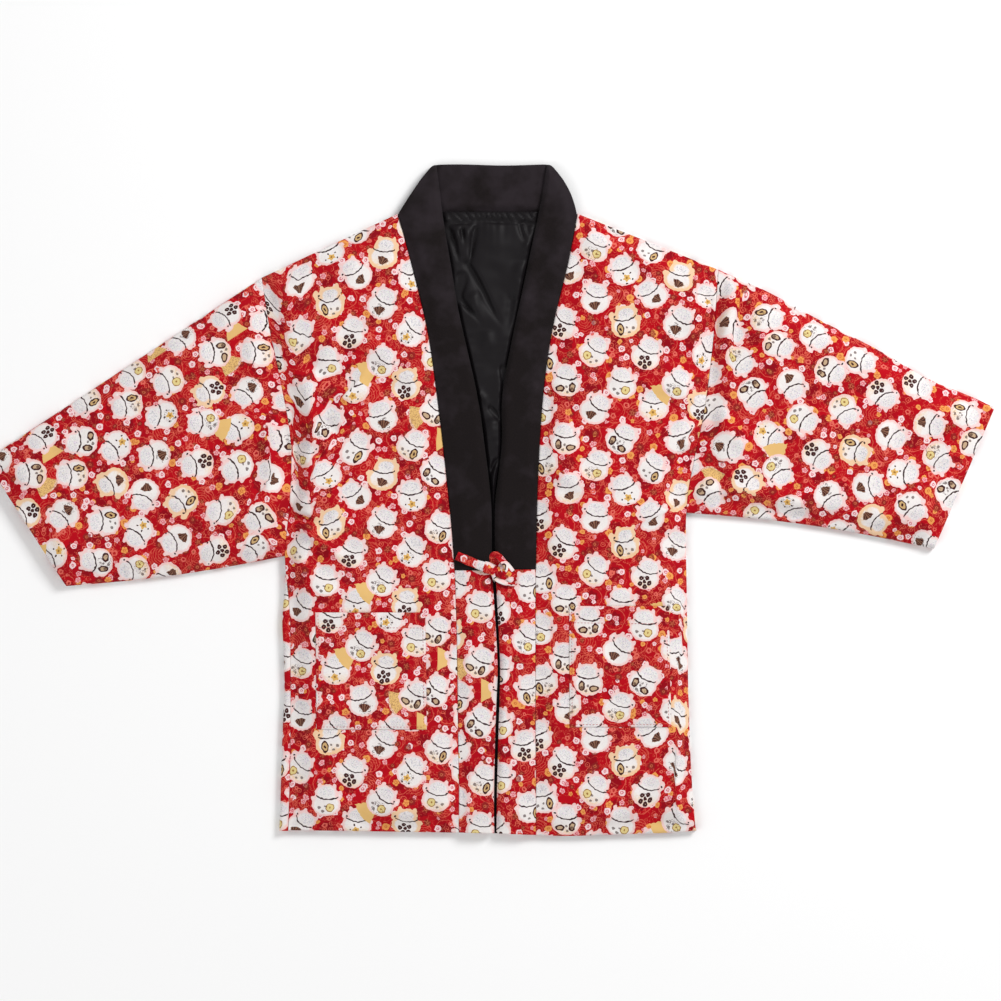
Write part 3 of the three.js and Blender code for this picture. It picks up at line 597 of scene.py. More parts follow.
def make_back():
    ts = stations(0, BODY_LONG, step=6) / BODY_LONG * LAST_ROW
    us = stations(0, BACK_WIDE, step=6) / BACK_WIDE
    right, left = right_side(ts), left_side(ts)
    u, v = us[None, :], (ts / LAST_ROW)[:, None]
    x = mix(right[:, :1], left[:, :1], u)
    level = mix(right[:, 1:], left[:, 1:], u)
    y = level + (shoulder_y(x) - level) * np.maximum(0, 1 - v * 3) ** 2
    y = y + (bottom_y(x) - level) * ease((v - 0.9) / 0.1)
    around = (x - right_side_x(y), left_side_x(y) - x, y - bottom_y(x), shoulder_y(x) - y)
    rolled = 1 - rounded(EDGE_ROLL, *around)
    high = back_top(x, y) - BACK_DROP * rolled
    low = BACK_ROLL * rolled
    panel = sew("back_panel", x, y, high, low, printed_cotton, lining_cloth, top_is_outside=False)
    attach(panel, "root")
    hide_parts("back")


make_back()

# =====================================================================================
# The two fronts: wadded panels cut away along the collar, printed outside and lined inside. They
# lie on the back, pinched at every seam, with soft folds at the armpits where the sleeves pull.
WAD_FRONT = 10.0
SLIT = 1.1  # air between two layers, at their edges
SLIT_MORE = 0.7  # and this much more away from them
FRONT_WIDE = 205.0
LEAST_THICK = 2.6
EDGE_DROP = 2.4  # how far a free edge rolls down
SIDE_HELD = 1.7  # and how far a sleeve or a gusset that is sewn to it holds it up
BAND_HELD = 1.8
FOLD_DEPTH = 1.8
TUCK_DEPTH = 1.8
TUCK_EDGE = 1.6  # half the width of a tuck's edge
TUCK_HIDES = 1.2
TUCK_SLIDES = 4.0
DRAWN_TOGETHER = 1.3


def swell(x, y):
    """The slow unevenness of wadded cloth that lies on itself."""
    return 1.1 * np.sin(x / 61 + y / 93) + 0.9 * np.sin(y / 57 - x / 118 + 1.3)


dips = [  # turn of the wave, its length, its height
    (0.30, 92, 0.50), (1.25, 73, 0.46), (2.20, 101, 0.48),
    (2.90, 59, 0.36), (0.80, 44, 0.26), (1.85, 36, 0.20),
]


def dimple(x, y):
    """The small dips in wadding that has been slept and sat on."""
    total = 0
    for k, (turn, length, height) in enumerate(dips):
        u = x * math.cos(turn) + y * math.sin(turn)
        v = y * math.cos(turn) - x * math.sin(turn)
        total = total + height * np.sin(u * math.tau / length + 1.5 * np.sin(v * 3.7 / length + k) + 2.1 * k)
    return total


def pucker(away, along, seed, reach=15, height=0.95, length=21):
    """The small gathers that a seam draws up, at a distance from it and a place along it."""
    p = along * math.tau / length + seed
    wave = 0.6 * np.sin(p + 1.1 * np.sin(p * 0.37 + seed))
    wave = wave + 0.4 * np.sin(1.73 * p + 1.2 * np.sin(p * 0.23 + 2 * seed))
    away = np.maximum(away, 0)
    return height * wave * np.exp(-away / reach) * (1 - np.exp(-away / 2.5))


# Each fold runs from its strong end to its faint one: from x, y, to x, y, half width, height (a ridge
# above 0, a trough below), tuck (how far one side stands over the other).
folds = [
    # right armpit and the body beside it
    (-226, 150, -224, -20, 10, 5.2, 0), (-242, 132, -241, -22, 8, -3.6, -1.6),
    (-198, 74, -234, 10, 9, 2.6, -1.6), (-247, -18, -214, -30, 3.6, -9.0, 0),
    (-246, -9, -196, 8, 7, 3.6, 0), (-244, -32, -152, -84, 8, 4.2, 0.9),
    (-192, 122, -146, 172, 9, 2.2, 1.7), (-214, 100, -176, 66, 8, -2.0, 1.2),
    (-236, -56, -168, -118, 10, -2.6, 0), (-240, 150, -150, 118, 12, 2.4, 0),
    (-246, 196, -196, 128, 11, -2.6, 0), (-236, 66, -160, 34, 10, -2.4, 0.7),
    # right chest and side
    (-112, 176, -186, 204, 15, 2.6, 0), (-92, 128, -172, 150, 12, -2.4, 0),
    (-74, 70, -140, 52, 13, 2.0, 0), (-240, -110, -90, -136, 15, 2.3, 0),
    (-244, -262, -150, -248, 16, 2.0, 0), (-66, -210, -128, -236, 13, -1.8, 0),
    (-206, -412, -190, -322, 14, 2.2, 0), (-168, -412, -158, -346, 11, -2.0, 0),
    (-112, -412, -124, -330, 14, 2.0, 0), (-72, -412, -84, -350, 10, -1.7, 0),
    # left armpit and the body beside it
    (266, 106, 230, 48, 9, 1.8, -1.9), (250, 70, 214, 4, 10, -2.8, 0), (256, 8, 236, -26, 8, -4.0, 0),
    (240, 2, 150, -60, 13, 2.8, 1.0), (236, -36, 170, -104, 11, -2.6, 0),
    (252, 150, 176, 132, 12, 2.4, 0), (258, 182, 190, 186, 12, -2.2, 0),
    # left chest and side
    (92, 150, 200, 166, 14, 2.6, 0), (84, 106, 176, 92, 12, -2.2, 0), (76, 30, 140, 14, 12, 1.8, 0),
    (240, -110, 120, -138, 15, 2.2, 0), (242, -250, 150, -262, 16, 2.0, 0),
    (70, -196, 132, -214, 12, -1.8, 0), (239, -416, 232, -190, 9, 2.4, 1.7),
    (233, -104, 238, -300, 7, 1.8, 1.4), (206, -412, 200, -346, 11, -2.2, 0),
    (150, -412, 140, -334, 14, 2.0, 0), (104, -412, 112, -352, 11, -1.8, 0),
    # right sleeve
    (-266, 112, -284, -14, 10, 3.0, 1.6), (-262, 44, -322, -44, 12, -3.2, -1.2),
    (-268, 6, -420, -78, 15, 3.2, 0.4), (-292, -40, -452, -66, 11, -2.4, 0),
    (-284, 232, -312, 118, 13, 3.0, 0), (-280, 160, -372, 84, 14, -2.4, 0),
    (-330, 196, -420, 40, 20, 2.0, 0), (-604, 20, -470, 80, 22, 2.2, 0),
    (-560, -86, -470, 10, 18, 2.0, 0), (-590, -20, -500, -10, 13, -2.0, 0),
    # left sleeve
    (296, 272, 288, 140, 9, 3.8, 0), (281, 262, 277, 160, 6, -1.6, -1.6),
    (309, 270, 303, 150, 8, -1.8, 1.8), (286, 120, 330, 40, 12, 2.8, 0), (270, 60, 300, -20, 10, -3.4, 0),
    (276, 20, 420, -10, 15, 3.0, 0.4), (300, -16, 460, -44, 11, -2.2, 0), (330, 250, 390, 96, 18, 2.2, 0),
    (604, 92, 480, 130, 22, 2.2, 0), (572, -30, 470, 50, 18, 2.0, 0), (596, 40, 500, 34, 13, -1.9, 0),
]


def lift(table, x, y):
    """How far the folds of a table lift each point, the cloth that they take away, and how they draw it
    together at the edge of each tuck, the last two as x and y."""
    total, taken_x, taken_y, drawn_x, drawn_y = (np.zeros(np.broadcast(x, y).shape) for _ in range(5))
    for from_x, from_y, to_x, to_y, width, height, tuck in table:
        dx, dy = to_x - from_x, to_y - from_y
        long = math.hypot(dx, dy)
        dx, dy = dx / long, dy / long
        along = ((x - from_x) * dx + (y - from_y) * dy) / long
        off = (x - from_x) * dy - (y - from_y) * dx + 0.03 * long * np.sin(along * 5 + from_x)
        swing = ease(along / 0.22) * ease((1 - along) / 0.7)
        step = np.tanh(off / 2.2) * np.exp(-np.abs(off) / (1.6 * width))
        total += swing * (FOLD_DEPTH * height * np.exp(-((off / width) ** 2)) + TUCK_DEPTH * tuck * step)
        side = np.clip(off / TUCK_EDGE, -1, 1)
        apart = abs(tuck) * swing * side * np.exp(-np.abs(off) / 60)
        taken_x += apart * (TUCK_HIDES * dy + TUCK_SLIDES * dx)
        taken_y += apart * (TUCK_SLIDES * dy - TUCK_HIDES * dx)
        drawn = -side * DRAWN_TOGETHER * swing * min(1, abs(tuck)) * np.exp(-np.abs(off) / 5)
        drawn_x += drawn * dy
        drawn_y -= drawn * dx
    return total, (taken_x, taken_y), (drawn_x, drawn_y)


def make_front(name, node, rows, pocket, start):
    side, neck, side_x, neck_x = outline(rows)
    outward = math.copysign(1, rows[0][0])

    def far(x, y):
        return outward * (side_x(y) - x), shoulder_y(x) - y, y - bottom_y(x)

    def base(x, y):
        return back_top(x, y) + SLIT + SLIT_MORE * loft(*far(x, y))

    def top(x, y):
        from_side, from_shoulder, from_hem = far(x, y)
        from_neck = outward * (x - neck_x(y))
        around = (from_side, from_shoulder, from_hem, from_neck)
        inside = loft(*around)
        drawn = pucker(from_side, y, 1.0, height=1.1) + pucker(from_neck, y, 2.2)
        drawn = drawn + pucker(from_shoulder, x, 0.4)
        drawn = drawn + pucker(from_hem, x, 3.1, reach=24, height=1.1, length=39)
        full = mix(SEAM_THICK, WAD_FRONT, inside) + drawn
        full = full + ease(inside * 1.6) * (swell(x, y) + dimple(x, y))
        full = np.maximum(full + ease(np.minimum.reduce(around) / 9) * lift(folds, x, y)[0], LEAST_THICK)
        at_edge = 1 - rounded(EDGE_ROLL, *around)
        sewn_side = ease((y + 40) / 30) if outward > 0 else 1.0  # the right side is sewn to its gusset too
        at_side = (1 - rounded(EDGE_ROLL, from_side)) * sewn_side
        at_band = (1 - rounded(EDGE_ROLL, from_neck)) * ease((-70 - y) / 20)
        return base(x, y) + full - EDGE_DROP * at_edge + SIDE_HELD * at_side + BAND_HELD * at_band

    ts = stations(0, BODY_LONG, step=3.2) / BODY_LONG * LAST_ROW
    us = stations(0, *(FRONT_WIDE * p for p in pocket[:2]), FRONT_WIDE, step=3.2) / FRONT_WIDE
    a, b = side(ts), neck(ts)
    u = us[None, :]
    x = mix(a[:, :1], b[:, :1], u)
    level = mix(a[:, 1:], b[:, 1:], u)
    y = level + (bottom_y(x) - level) * ease(((ts / LAST_ROW)[:, None] - 0.92) / 0.08)
    low = base(x, y) + 1.0 * (1 - rounded(3, *far(x, y)))
    _, taken, drawn = lift(folds, x, y)
    quiet = ease(1.6 * loft(*far(x, y), outward * (x - neck_x(y))))
    drawn = (drawn[0] * quiet, drawn[1] * quiet)
    panel = sew(
        name, x, y, top(x, y), low, printed_cotton, lining_cloth, start=start, taken=taken, drawn=drawn
    )
    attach(panel, "root")
    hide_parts(node)
    return side, neck, top


# A pocket: outer and inner edge as shares of the front's width, and its mouth's and foot's rows.
right_pocket = (0.155, 0.815, 6, 8)
left_pocket = (0.12, 0.78, 6, 8)
right_front = make_front("front_panel_right", "front_right", right_front_rows, right_pocket, (31, 12))
left_front = make_front("front_panel_left", "front_left", left_front_rows, left_pocket, (8, 40))

# =====================================================================================
# The patch pockets: one thickness of printed cotton with its edges turned in, sewn to each front
# on three sides by a row of red stitches. The mouth is turned over and stitched before that.
POCKET_THICK = 2.2
POCKET_TALL = 146.0
POCKET_CLEAR = 0.2
MOUTH_HEM = 19.0
STITCH_IN = 3.4  # from the pocket's edge to its stitches
STITCH_PITCH = 4.2
STITCH_LONG = 2.6
THREAD_THICK = 0.55
STITCH_SIDES = 6
STITCH_RINGS = (  # how far along a stitch each ring is, its girth and its rise
    (0.0, 0.45, -0.35), (0.22, 1.0, 0.1), (0.78, 1.0, 0.1), (1.0, 0.45, -0.35),
)

red_thread = bpy.data.materials.new("red thread")
red_thread.use_nodes = True
shader = red_thread.node_tree.nodes["Principled BSDF"]
shader.inputs["Roughness"].default_value = 0.6
wiring = Wiring(red_thread.node_tree)
ply = wiring.noise(wiring.add("ShaderNodeTexCoord", out=3), 2600.0, 1.0, 0.5)
wiring.put(shader.inputs["Base Color"], wiring.mix(ply, srgb(150, 8, 26), srgb(196, 30, 40)))


def face_outward(piece):
    """Turns every face of a closed mesh outward."""
    mesh = bmesh.new()
    mesh.from_mesh(piece.data)
    bmesh.ops.recalc_face_normals(mesh, faces=mesh.faces)
    mesh.to_mesh(piece.data)
    mesh.free()


def make_stitches(name, lines):
    """Rows of short stitches along lines of points in millimetres, each stitch a spindle of thread."""
    points, faces = [], []
    for line in lines:
        line = np.array(line, float)
        run = np.concatenate([[0], np.cumsum(np.linalg.norm(np.diff(line, axis=0), axis=1))])
        for begin in np.arange(0.6, run[-1] - STITCH_LONG, STITCH_PITCH):
            ends = (begin, begin + STITCH_LONG)
            first, last = (np.array([np.interp(s, run, c) for c in line.T]) for s in ends)
            ahead = (last - first) / np.linalg.norm(last - first)
            across = np.cross([0, 0, 1.0], ahead)
            across /= np.linalg.norm(across)
            above = np.cross(ahead, across)
            n = len(points)
            for along, girth, rise in STITCH_RINGS:
                middle = first + ahead * along * STITCH_LONG + above * rise * THREAD_THICK
                for c in range(STITCH_SIDES):
                    a = c * math.tau / STITCH_SIDES
                    out = across * math.cos(a) + above * math.sin(a)
                    points.append(middle + out * girth * THREAD_THICK / 2)
            rings = np.arange(n, len(points)).reshape(-1, STITCH_SIDES).tolist()
            for ring, after in zip(rings, rings[1:]):
                for c in range(STITCH_SIDES):
                    d = (c + 1) % STITCH_SIDES
                    faces.append([ring[c], ring[d], after[d], after[c]])
            faces.append(rings[0][::-1])
            faces.append(rings[-1])
    points = np.array(points) * MM
    stitches = to_object(name, points, faces, points[:, :2], (red_thread,), None)
    face_outward(stitches)
    return stitches


def make_pocket(side_name, front, shares, start):
    side, neck, top = front
    outer, inner, mouth, foot = shares
    across = (inner - outer) * FRONT_WIDE

    def place(u, t):
        """Plan of a point: u from the outer edge to the inner one, t from the mouth to the foot."""
        a, b = side(mix(mouth, foot, t)), neck(mix(mouth, foot, t))
        share = np.asarray(mix(outer, inner, u))[..., None]
        return mix(a, b, share)

    def height(u, t):
        p = place(u, t)
        from_side = np.minimum(u, 1 - u) * across
        from_foot, from_mouth = (1 - t) * POCKET_TALL, t * POCKET_TALL
        sewn = np.minimum(from_side, from_foot)
        body = POCKET_THICK * (0.12 + 0.88 * rounded(7.0, sewn)) * (0.5 + 0.5 * rounded(1.6, from_mouth))
        hem = 0.5 * ease((MOUTH_HEM + 2 - from_mouth) / 1.6) * ease(sewn / 6)
        stitch = -0.4 * np.exp(-((sewn - STITCH_IN) ** 2)) - 0.35 * np.exp(-((from_mouth - MOUTH_HEM) ** 2))
        along = np.where(from_side < from_foot, from_mouth, u * across)
        drawn = 0.5 * pucker(sewn, along, 1.7, reach=9, length=9)
        slack = 1.5 * np.sin(math.pi * u) ** 2 * (1 - ease(t / 0.35))
        base = top(p[..., 0], p[..., 1]) + POCKET_CLEAR
        return base, base + body + hem + stitch + drawn + slack

    near = (0.6, 1.4, 2.4, 3.4, 4.4)
    us = (stations(0, across, step=3, near=near) / across)[None, :]
    ts = (stations(0, MOUTH_HEM, POCKET_TALL, step=3, near=near) / POCKET_TALL)[:, None]
    us, ts = np.broadcast_arrays(us, ts)
    plan = place(us, ts)
    x, y = plan[..., 0], plan[..., 1]
    base, high = height(us, ts)
    panel = sew("patch_pocket_" + side_name, x, y, high, base, printed_cotton, printed_cotton, start=start)
    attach(panel, "root")
    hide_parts("pocket_" + side_name)
    edge = STITCH_IN / across
    low = 1 - STITCH_IN / POCKET_TALL
    over, down = np.linspace(edge, 1 - edge, 60), np.linspace(0.02, 1, 60) * low
    rows = [
        (np.full(60, edge), down), (over, np.full(60, low)),
        (np.full(60, 1 - edge), down[::-1]), (over, np.full(60, MOUTH_HEM / POCKET_TALL)),
    ]
    lines = [np.concatenate([place(u, v), height(u, v)[1][:, None] + 0.12], 1) for u, v in rows]
    stitches = make_stitches("pocket_stitches_" + side_name, lines)
    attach(stitches, "root")


make_pocket("right", right_front, right_pocket, (57, 93))
make_pocket("left", left_front, left_pocket, (-21, 66))

# =====================================================================================
# The sleeves: wadded tubes of printed cotton, lined in black, sewn to the body at the armhole and
# open at the cuff. Laid flat, each is folded along its upper edge and seamed along the underarm.
HEM_THICK = 6.0
FOLD_RADIUS = 4.8
SEAM_GAP = 0.06


def tube_faces(rows, around):
    """The faces between the rings of a tube, whose points are counted ring by ring."""
    j = np.arange(rows - 1)[:, None] * around
    i = np.arange(around)[None, :]
    n = (i + 1) % around
    return np.stack([k.ravel() for k in (j + i, j + n, j + around + n, j + around + i)], 1)


def make_sleeve(side_name, rows, cuff_top, cuff_foot, bow, sway, start):
    side = outline(rows)[0]
    outward = math.copysign(1, rows[0][0])
    cuff_top, cuff_foot = np.array(cuff_top, float), np.array(cuff_foot, float)

    def plan(s, w):
        """A point of the sleeve laid flat: s from armhole to cuff, w from the upper fold to the underarm."""
        at = side(w * ARMPIT_ROW) + [outward * SEAM_GAP, 0]
        end = mix(cuff_top, cuff_foot, w[..., None])
        p = mix(at, end, s[..., None])
        p[..., 1] -= bow * np.sin(np.pi * s) * w * w
        bend = 0.6 * np.exp(-(((s - 0.18) / 0.12) ** 2)) - np.exp(-(((s - 0.76) / 0.13) ** 2))
        p[..., 1] += sway * bend * (1 - w) ** 2
        return p

    ends = np.array([0.0, 1.0])
    long = float(np.linalg.norm(plan(ends, ends * 0 + 0.5)[1] - plan(ends, ends * 0 + 0.5)[0]))
    ss = stations(0, long, step=3.4) / long
    wides = np.linalg.norm(plan(ss, ss * 0) - plan(ss, ss * 0 + 1), axis=1)
    fold_line = plan(ends, ends * 0)
    grain = (fold_line[1] - fold_line[0]) / np.linalg.norm(fold_line[1] - fold_line[0])
    inward = np.array([grain[1], -grain[0]]) * outward

    def walls(s, w, p, wide):
        from_fold, from_under = w * wide, (1 - w) * wide
        from_seam, from_cuff = s * long, (1 - s) * long
        inside, along, cuff = loft(from_fold, from_under), loft(from_seam), loft(from_cuff)
        share = np.minimum(inside, along)
        lower = mix(mix(SEAM_THICK, WAD_BACK, share), HEM_THICK, 1 - cuff)
        upper = mix(mix(SEAM_THICK, WAD_FRONT, share), HEM_THICK, 1 - cuff)
        air = SLIT + SLIT_MORE * inside + 1.2 * inside * (1 - cuff)
        quiet = ease(1.6 * np.minimum(np.minimum(inside, along), cuff))
        x, y = p[..., 0], p[..., 1]
        drawn = pucker(from_seam, w * wide, 0.9, height=1.15) + pucker(from_under, from_seam, 2.6)
        drawn = drawn + pucker(from_cuff, w * wide, 1.9, height=0.8, length=31)
        drawn = drawn * ease(np.minimum(from_fold, from_under) / 9)
        upper = upper + drawn + quiet * (swell(x, y) + dimple(x, y))
        near = np.minimum.reduce(np.broadcast_arrays(from_fold, from_under, from_seam, from_cuff))
        return lower, air, np.maximum(upper + ease(near / 9) * lift(folds, x, y)[0], LEAST_THICK)

    def tube(inset, outer):
        """The outer or the inner face of the sleeve, ring by ring from armhole to cuff: its points, their
        place along the cloth, their place across it on the upper and on the lower layer, and where the
        lower layer begins."""
        near = inset + np.array([0, 0.3, 1, 2.1, 3.6, 5.6, 8.5, 12.5])
        middle = np.linspace(0, 1, 62)[1:-1]
        s = ss[:, None]
        wide = wides[:, None]
        edge = near[-1] / wide
        upper = np.concatenate([near / wide, mix(edge, 1 - edge, middle), 1 - near[::-1] / wide], 1)
        sheets = []
        for is_upper in (True, False):
            w = upper if is_upper else upper[:, -2:0:-1]
            sb = np.broadcast_to(s, w.shape)
            p = plan(sb, w)
            lower, air, above = walls(sb, w, p, wide)
            if outer:
                d = np.minimum(w, 1 - w) * wide
                turn = np.sqrt(np.maximum(0, 1 - (1 - np.minimum(d / FOLD_RADIUS, 1)) ** 2))
                roll = 0.35 * (1 - rounded(3, sb * long)) + 1 - rounded(3, (1 - sb) * long)
                middle_z = (2 * SEAM_THICK + SLIT) / 2
                high = middle_z + (lower + air + above - middle_z) * turn - 1.8 * roll
                z = high if is_upper else middle_z * (1 - turn) + 1.4 * roll * turn
            else:
                z = lower + (air if is_upper else 0)
                closed = (w == w[:, :1]) | (w == w[:, -1:]) if is_upper else np.zeros(w.shape, bool)
                z = np.where(closed, lower + air / 2, z)
            sheets.append((p, z))
        p = np.concatenate([sheet[0] for sheet in sheets], 1)
        z = np.concatenate([sheet[1] for sheet in sheets], 1)
        points = np.concatenate([p, z[..., None]], -1)
        steps = np.roll(points, -1, 1) - points
        climb = np.linalg.norm(steps, axis=-1) - np.linalg.norm(steps[..., :2], axis=-1)
        before = np.concatenate([np.zeros((len(z), 1)), np.cumsum(climb, 1)], 1)
        from_fold = (p - fold_line[0]) @ inward
        _, taken, drawn = (np.array(part) for part in lift(folds, p[..., 0], p[..., 1]))
        taken, drawn = np.moveaxis(taken, 0, -1), np.moveaxis(drawn, 0, -1)
        if outer:
            on_upper = upper.shape[1]
            quiet = ease(1.6 * loft(upper * wides[:, None], (1 - upper) * wides[:, None], ss[:, None] * long))
            points[:, :on_upper, :2] += drawn[:, :on_upper] * quiet[..., None]
        v = (p + taken - fold_line[0]) @ grain
        on_top = from_fold + taken @ inward + before[:, :-1]
        beneath = -(from_fold + before[:, -1:] - before[:, :-1])
        beneath[:, 0] = on_top[:, 0]
        return points, v, on_top, beneath, upper.shape[1] - 1

    outside, inside = tube(0, True), tube(FOLD_RADIUS + 0.6, False)
    rings, around = outside[1].shape
    count = rings * around
    points = np.concatenate([outside[0].reshape(-1, 3), inside[0].reshape(-1, 3)]) * MM
    printed = tube_faces(rings, around)
    i = np.arange(around)
    n = (i + 1) % around
    column = np.concatenate([np.tile(i, rings - 1), i, i, np.tile(i, rings - 1)])
    last = (rings - 1) * around
    armhole = np.stack([i, count + i, count + n, n], 1)
    cuff = np.stack([last + n, count + last + n, count + last + i, last + i], 1)
    faces = np.concatenate([printed, armhole, cuff, printed[:, ::-1] + count])
    if outward < 0:
        faces = faces[:, ::-1]
    v, on_top, beneath = (np.concatenate([outside[k].ravel(), inside[k].ravel()]) for k in (1, 2, 3))
    u = np.where((column < outside[4])[:, None], on_top[faces], beneath[faces])
    uv = np.stack([outward * u + start[0], v[faces] + start[1]], -1).reshape(-1, 2) * MM
    lined = np.zeros(len(faces), int)
    lined[len(printed) + 2 * around:] = 1
    sleeve = to_object("sleeve_tube_" + side_name, points, faces, uv, (printed_cotton, lining_cloth), lined)
    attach(sleeve, "root")
    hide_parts("sleeve_" + side_name)


make_sleeve("right", right_front_rows, (-630, 50), (-529, -107.5), 5, 0, (17, 25))
make_sleeve("left", left_front_rows, (630, 116), (554, -61), -7, 5.5, (44, 9))

# =====================================================================================
# The side gusset: a narrow strip of printed cotton between back and front, folded in two along
# the side. It shows beyond the right front's seam, from the armpit to the hem.
GUSSET_SHOWS = 11.0
GUSSET_LONG = 330.0
GUSSET_TOP = 2 * SEAM_THICK + SLIT


def make_gusset():
    first = ARMPIT_ROW + 0.35
    ts = mix(first, LAST_ROW, stations(0, GUSSET_LONG, step=6) / GUSSET_LONG)
    edge = right_side(ts)
    wide = GUSSET_SHOWS * ease((ts - first + 0.25) / 1.2) - 3.2 * np.exp(-(((edge[:, 1] + 225) / 60) ** 2))
    roll = np.minimum(FOLD_RADIUS, wide * 0.8)
    middle = GUSSET_TOP / 2
    none = np.zeros_like(wide)
    loop = [(none, none + 0.15), (wide * 0.25, none + 0.05)]  # how far out and how high, once around
    for turn in np.linspace(-90, 90, 13):
        c, s = math.cos(math.radians(turn)), math.sin(math.radians(turn))
        loop.append((wide - roll + roll * c, none + (middle + middle * s)))
    loop += [
        (wide * 0.25, none + (GUSSET_TOP - 0.1)),
        (none, none + (GUSSET_TOP - 0.3)),
        (none, none + (middle + 0.5)),
        (wide * 0.45, none + (middle + 0.5)),
        (wide * 0.45, none + (middle - 0.5)),
        (none, none + (middle - 0.5)),
    ]
    out = np.stack([p[0] for p in loop], 1)
    z = np.stack([p[1] for p in loop], 1)
    x = edge[:, :1] - 0.1 - out
    y = np.broadcast_to(edge[:, 1:], x.shape)
    rows, around = x.shape
    points = np.stack([x, y, z], -1).reshape(-1, 3) * MM
    faces = tube_faces(rows, around).tolist()
    faces.append(list(range(around))[::-1])
    faces.append([(rows - 1) * around + k for k in range(around)])
    steps = np.hypot(np.diff(out, axis=1), np.diff(z, axis=1))
    reach = np.concatenate([np.zeros((rows, 1)), np.cumsum(steps, 1)], 1)
    uv = np.stack([-reach.ravel() + 13, y.ravel() + 71], 1) * MM
    gusset = to_object("gusset_strip_right", points, faces, uv, (printed_cotton,), None)
    face_outward(gusset)
    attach(gusset, "root")
    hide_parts("side_gusset_right")


make_gusset()

# =====================================================================================
# The lining in the neck: thin black cloth over the inside of the back, creased by its own slack,
# from a gathered facing at the back of the neck down the narrow opening between the two bands.
LINING_THICK = 1.2
LINING_CLEAR = 0.6
LINING_MARGIN = 14.0
FACING_FOOT = 345.0
NECK_FOOT = 361.0  # where the roll of the collar meets the facing
GATHER = 8.0  # from one gather of the facing to the next

right_inner_rows = [
    (-67, 419.5), (-63, 388), (-58.5, 352), (-47.5, 285), (-38, 230), (-16, 131), (-6, 62), (1.5, -6),
    (2.8, -86), (8, -172), (9.6, -212), (8, -252), (6.4, -300), (5, -371), (5.4, HEM_Y + 3),
]
left_inner_rows = [
    (71, 419.5), (66.5, 388), (59.5, 352), (45, 283), (26, 192), (15.5, 131), (14.5, 66), (6.5, -6),
    (6.8, -82), (11.2, -172), (12.6, -212), (11.8, -252), (10.2, -300), (8.6, -371), (8, HEM_Y - 2),
]
lining_folds = [  # as the folds of the fronts
    (-56, 345, -32, 292, 3.4, -3.4, -1.6), (-37, 302, 24, 212, 3.6, -3.8, -2.2),
    (-47, 268, -8, 212, 3.2, -2.8, 0.9), (-15, 346, -31, 284, 3.0, -3.4, 1.4),
    (-40, 342, -36, 308, 4, 1.6, 0), (-27, 342, -30, 312, 3.4, 1.4, 0),
    (-34.5, 342, -33, 318, 2.2, -2.2, 0), (-37, 286, -38, 240, 5, -4.2, 0),
    (-24, 262, -10, 216, 8, 1.8, 0), (38, 354, 53, 326, 2.4, -3.2, 1.3),
    (33, 348, 47, 318, 2.4, -2.8, 1.0), (46, 324, 48, 300, 4, 1.2, 0), (42, 300, 26, 232, 8, 1.4, 0),
    (30, 262, 18, 206, 6, -1.6, 0), (2, 332, 8, 262, 20, 1.2, 0), (-2, 214, -4, 178, 8, 1.2, 0),
    (17, 172, 15, 118, 3.4, -2.8, 0.8), (-15, 135, -3, 121, 5, 2.0, 1.2),
    (-1, 119, 16, 92, 3, -3.2, -1.2), (2, 106, 4, 56, 9, 2.2, 0), (9, 54, -3, 24, 3, -2.6, 1.0),
    (9, 46, 4, -4, 4, 1.8, 0),
]
right_inner_x = across_at(smooth_curve(right_inner_rows), len(right_inner_rows) - 1)
left_inner_x = across_at(smooth_curve(left_inner_rows), len(left_inner_rows) - 1)


def make_lining():
    top_y = NECK_Y + 2.5
    marks = (-top_y, -FACING_FOOT, -FACING_FOOT + 1.2, -(HEM_Y + 9))
    ys = -stations(*marks, step=2.2, near=(0.6, 1.4, 2.6, 4.2))[:, None]
    us = np.concatenate([[-1, -0.5], np.linspace(0, 1, 53), [1.5, 2]])[None, :]
    a, b = right_inner_x(ys), left_inner_x(ys)
    x = mix(a, b, np.clip(us, 0, 1)) + LINING_MARGIN * (np.minimum(us, 0) + np.maximum(us - 1, 0))
    y = np.broadcast_to(ys, x.shape)
    base = back_top(x, y) + LINING_CLEAR
    shows = ease(np.minimum(x - a, b - x) / 5)
    foot = FACING_FOOT + 3.5 * (1 - (x / 60) ** 2)
    below_facing = ease((foot - y + 1.5) / 2)
    creases, taken, drawn = lift(lining_folds, x, y)
    creases = creases + 0.5 * dimple(x * 1.6, y * 1.6)
    creases = creases + pucker(x - a, y, 0.6, reach=8, height=0.7, length=15)
    creases = creases + pucker(b - x, y, 1.6, reach=8, height=0.7, length=17)
    creases = creases + pucker(foot - y, x, 2.9, reach=12, height=0.8, length=16)
    slant = (x + 0.7 * (y - foot) + 4 * np.sin(x / 13)) * math.tau / GATHER
    up = np.clip((y - foot) / (NECK_FOOT - foot), 0, 1)
    ripples = 5.0 + 1.4 * np.sin(slant) + 1.1 * np.sin(1.7 * slant + 1)
    gathers = np.maximum(0, np.sin(math.pi * up)) ** 0.5 * ripples
    under_facing = (2.6 + 1.0 * np.sin(x / 7)) * np.exp(-(((foot - y - 2.0) / 1.7) ** 2))
    loose = 4.0 + 1.4 * creases - under_facing
    high = base + LINING_THICK + shows * np.maximum(0, mix(gathers, loose, below_facing))
    drawn = (drawn[0] * shows, drawn[1] * shows)
    panel = sew("lining_panel", x, y, high, base, lining_cloth, lining_cloth, taken=taken, drawn=drawn)
    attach(panel, "root")
    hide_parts("lining")


make_lining()

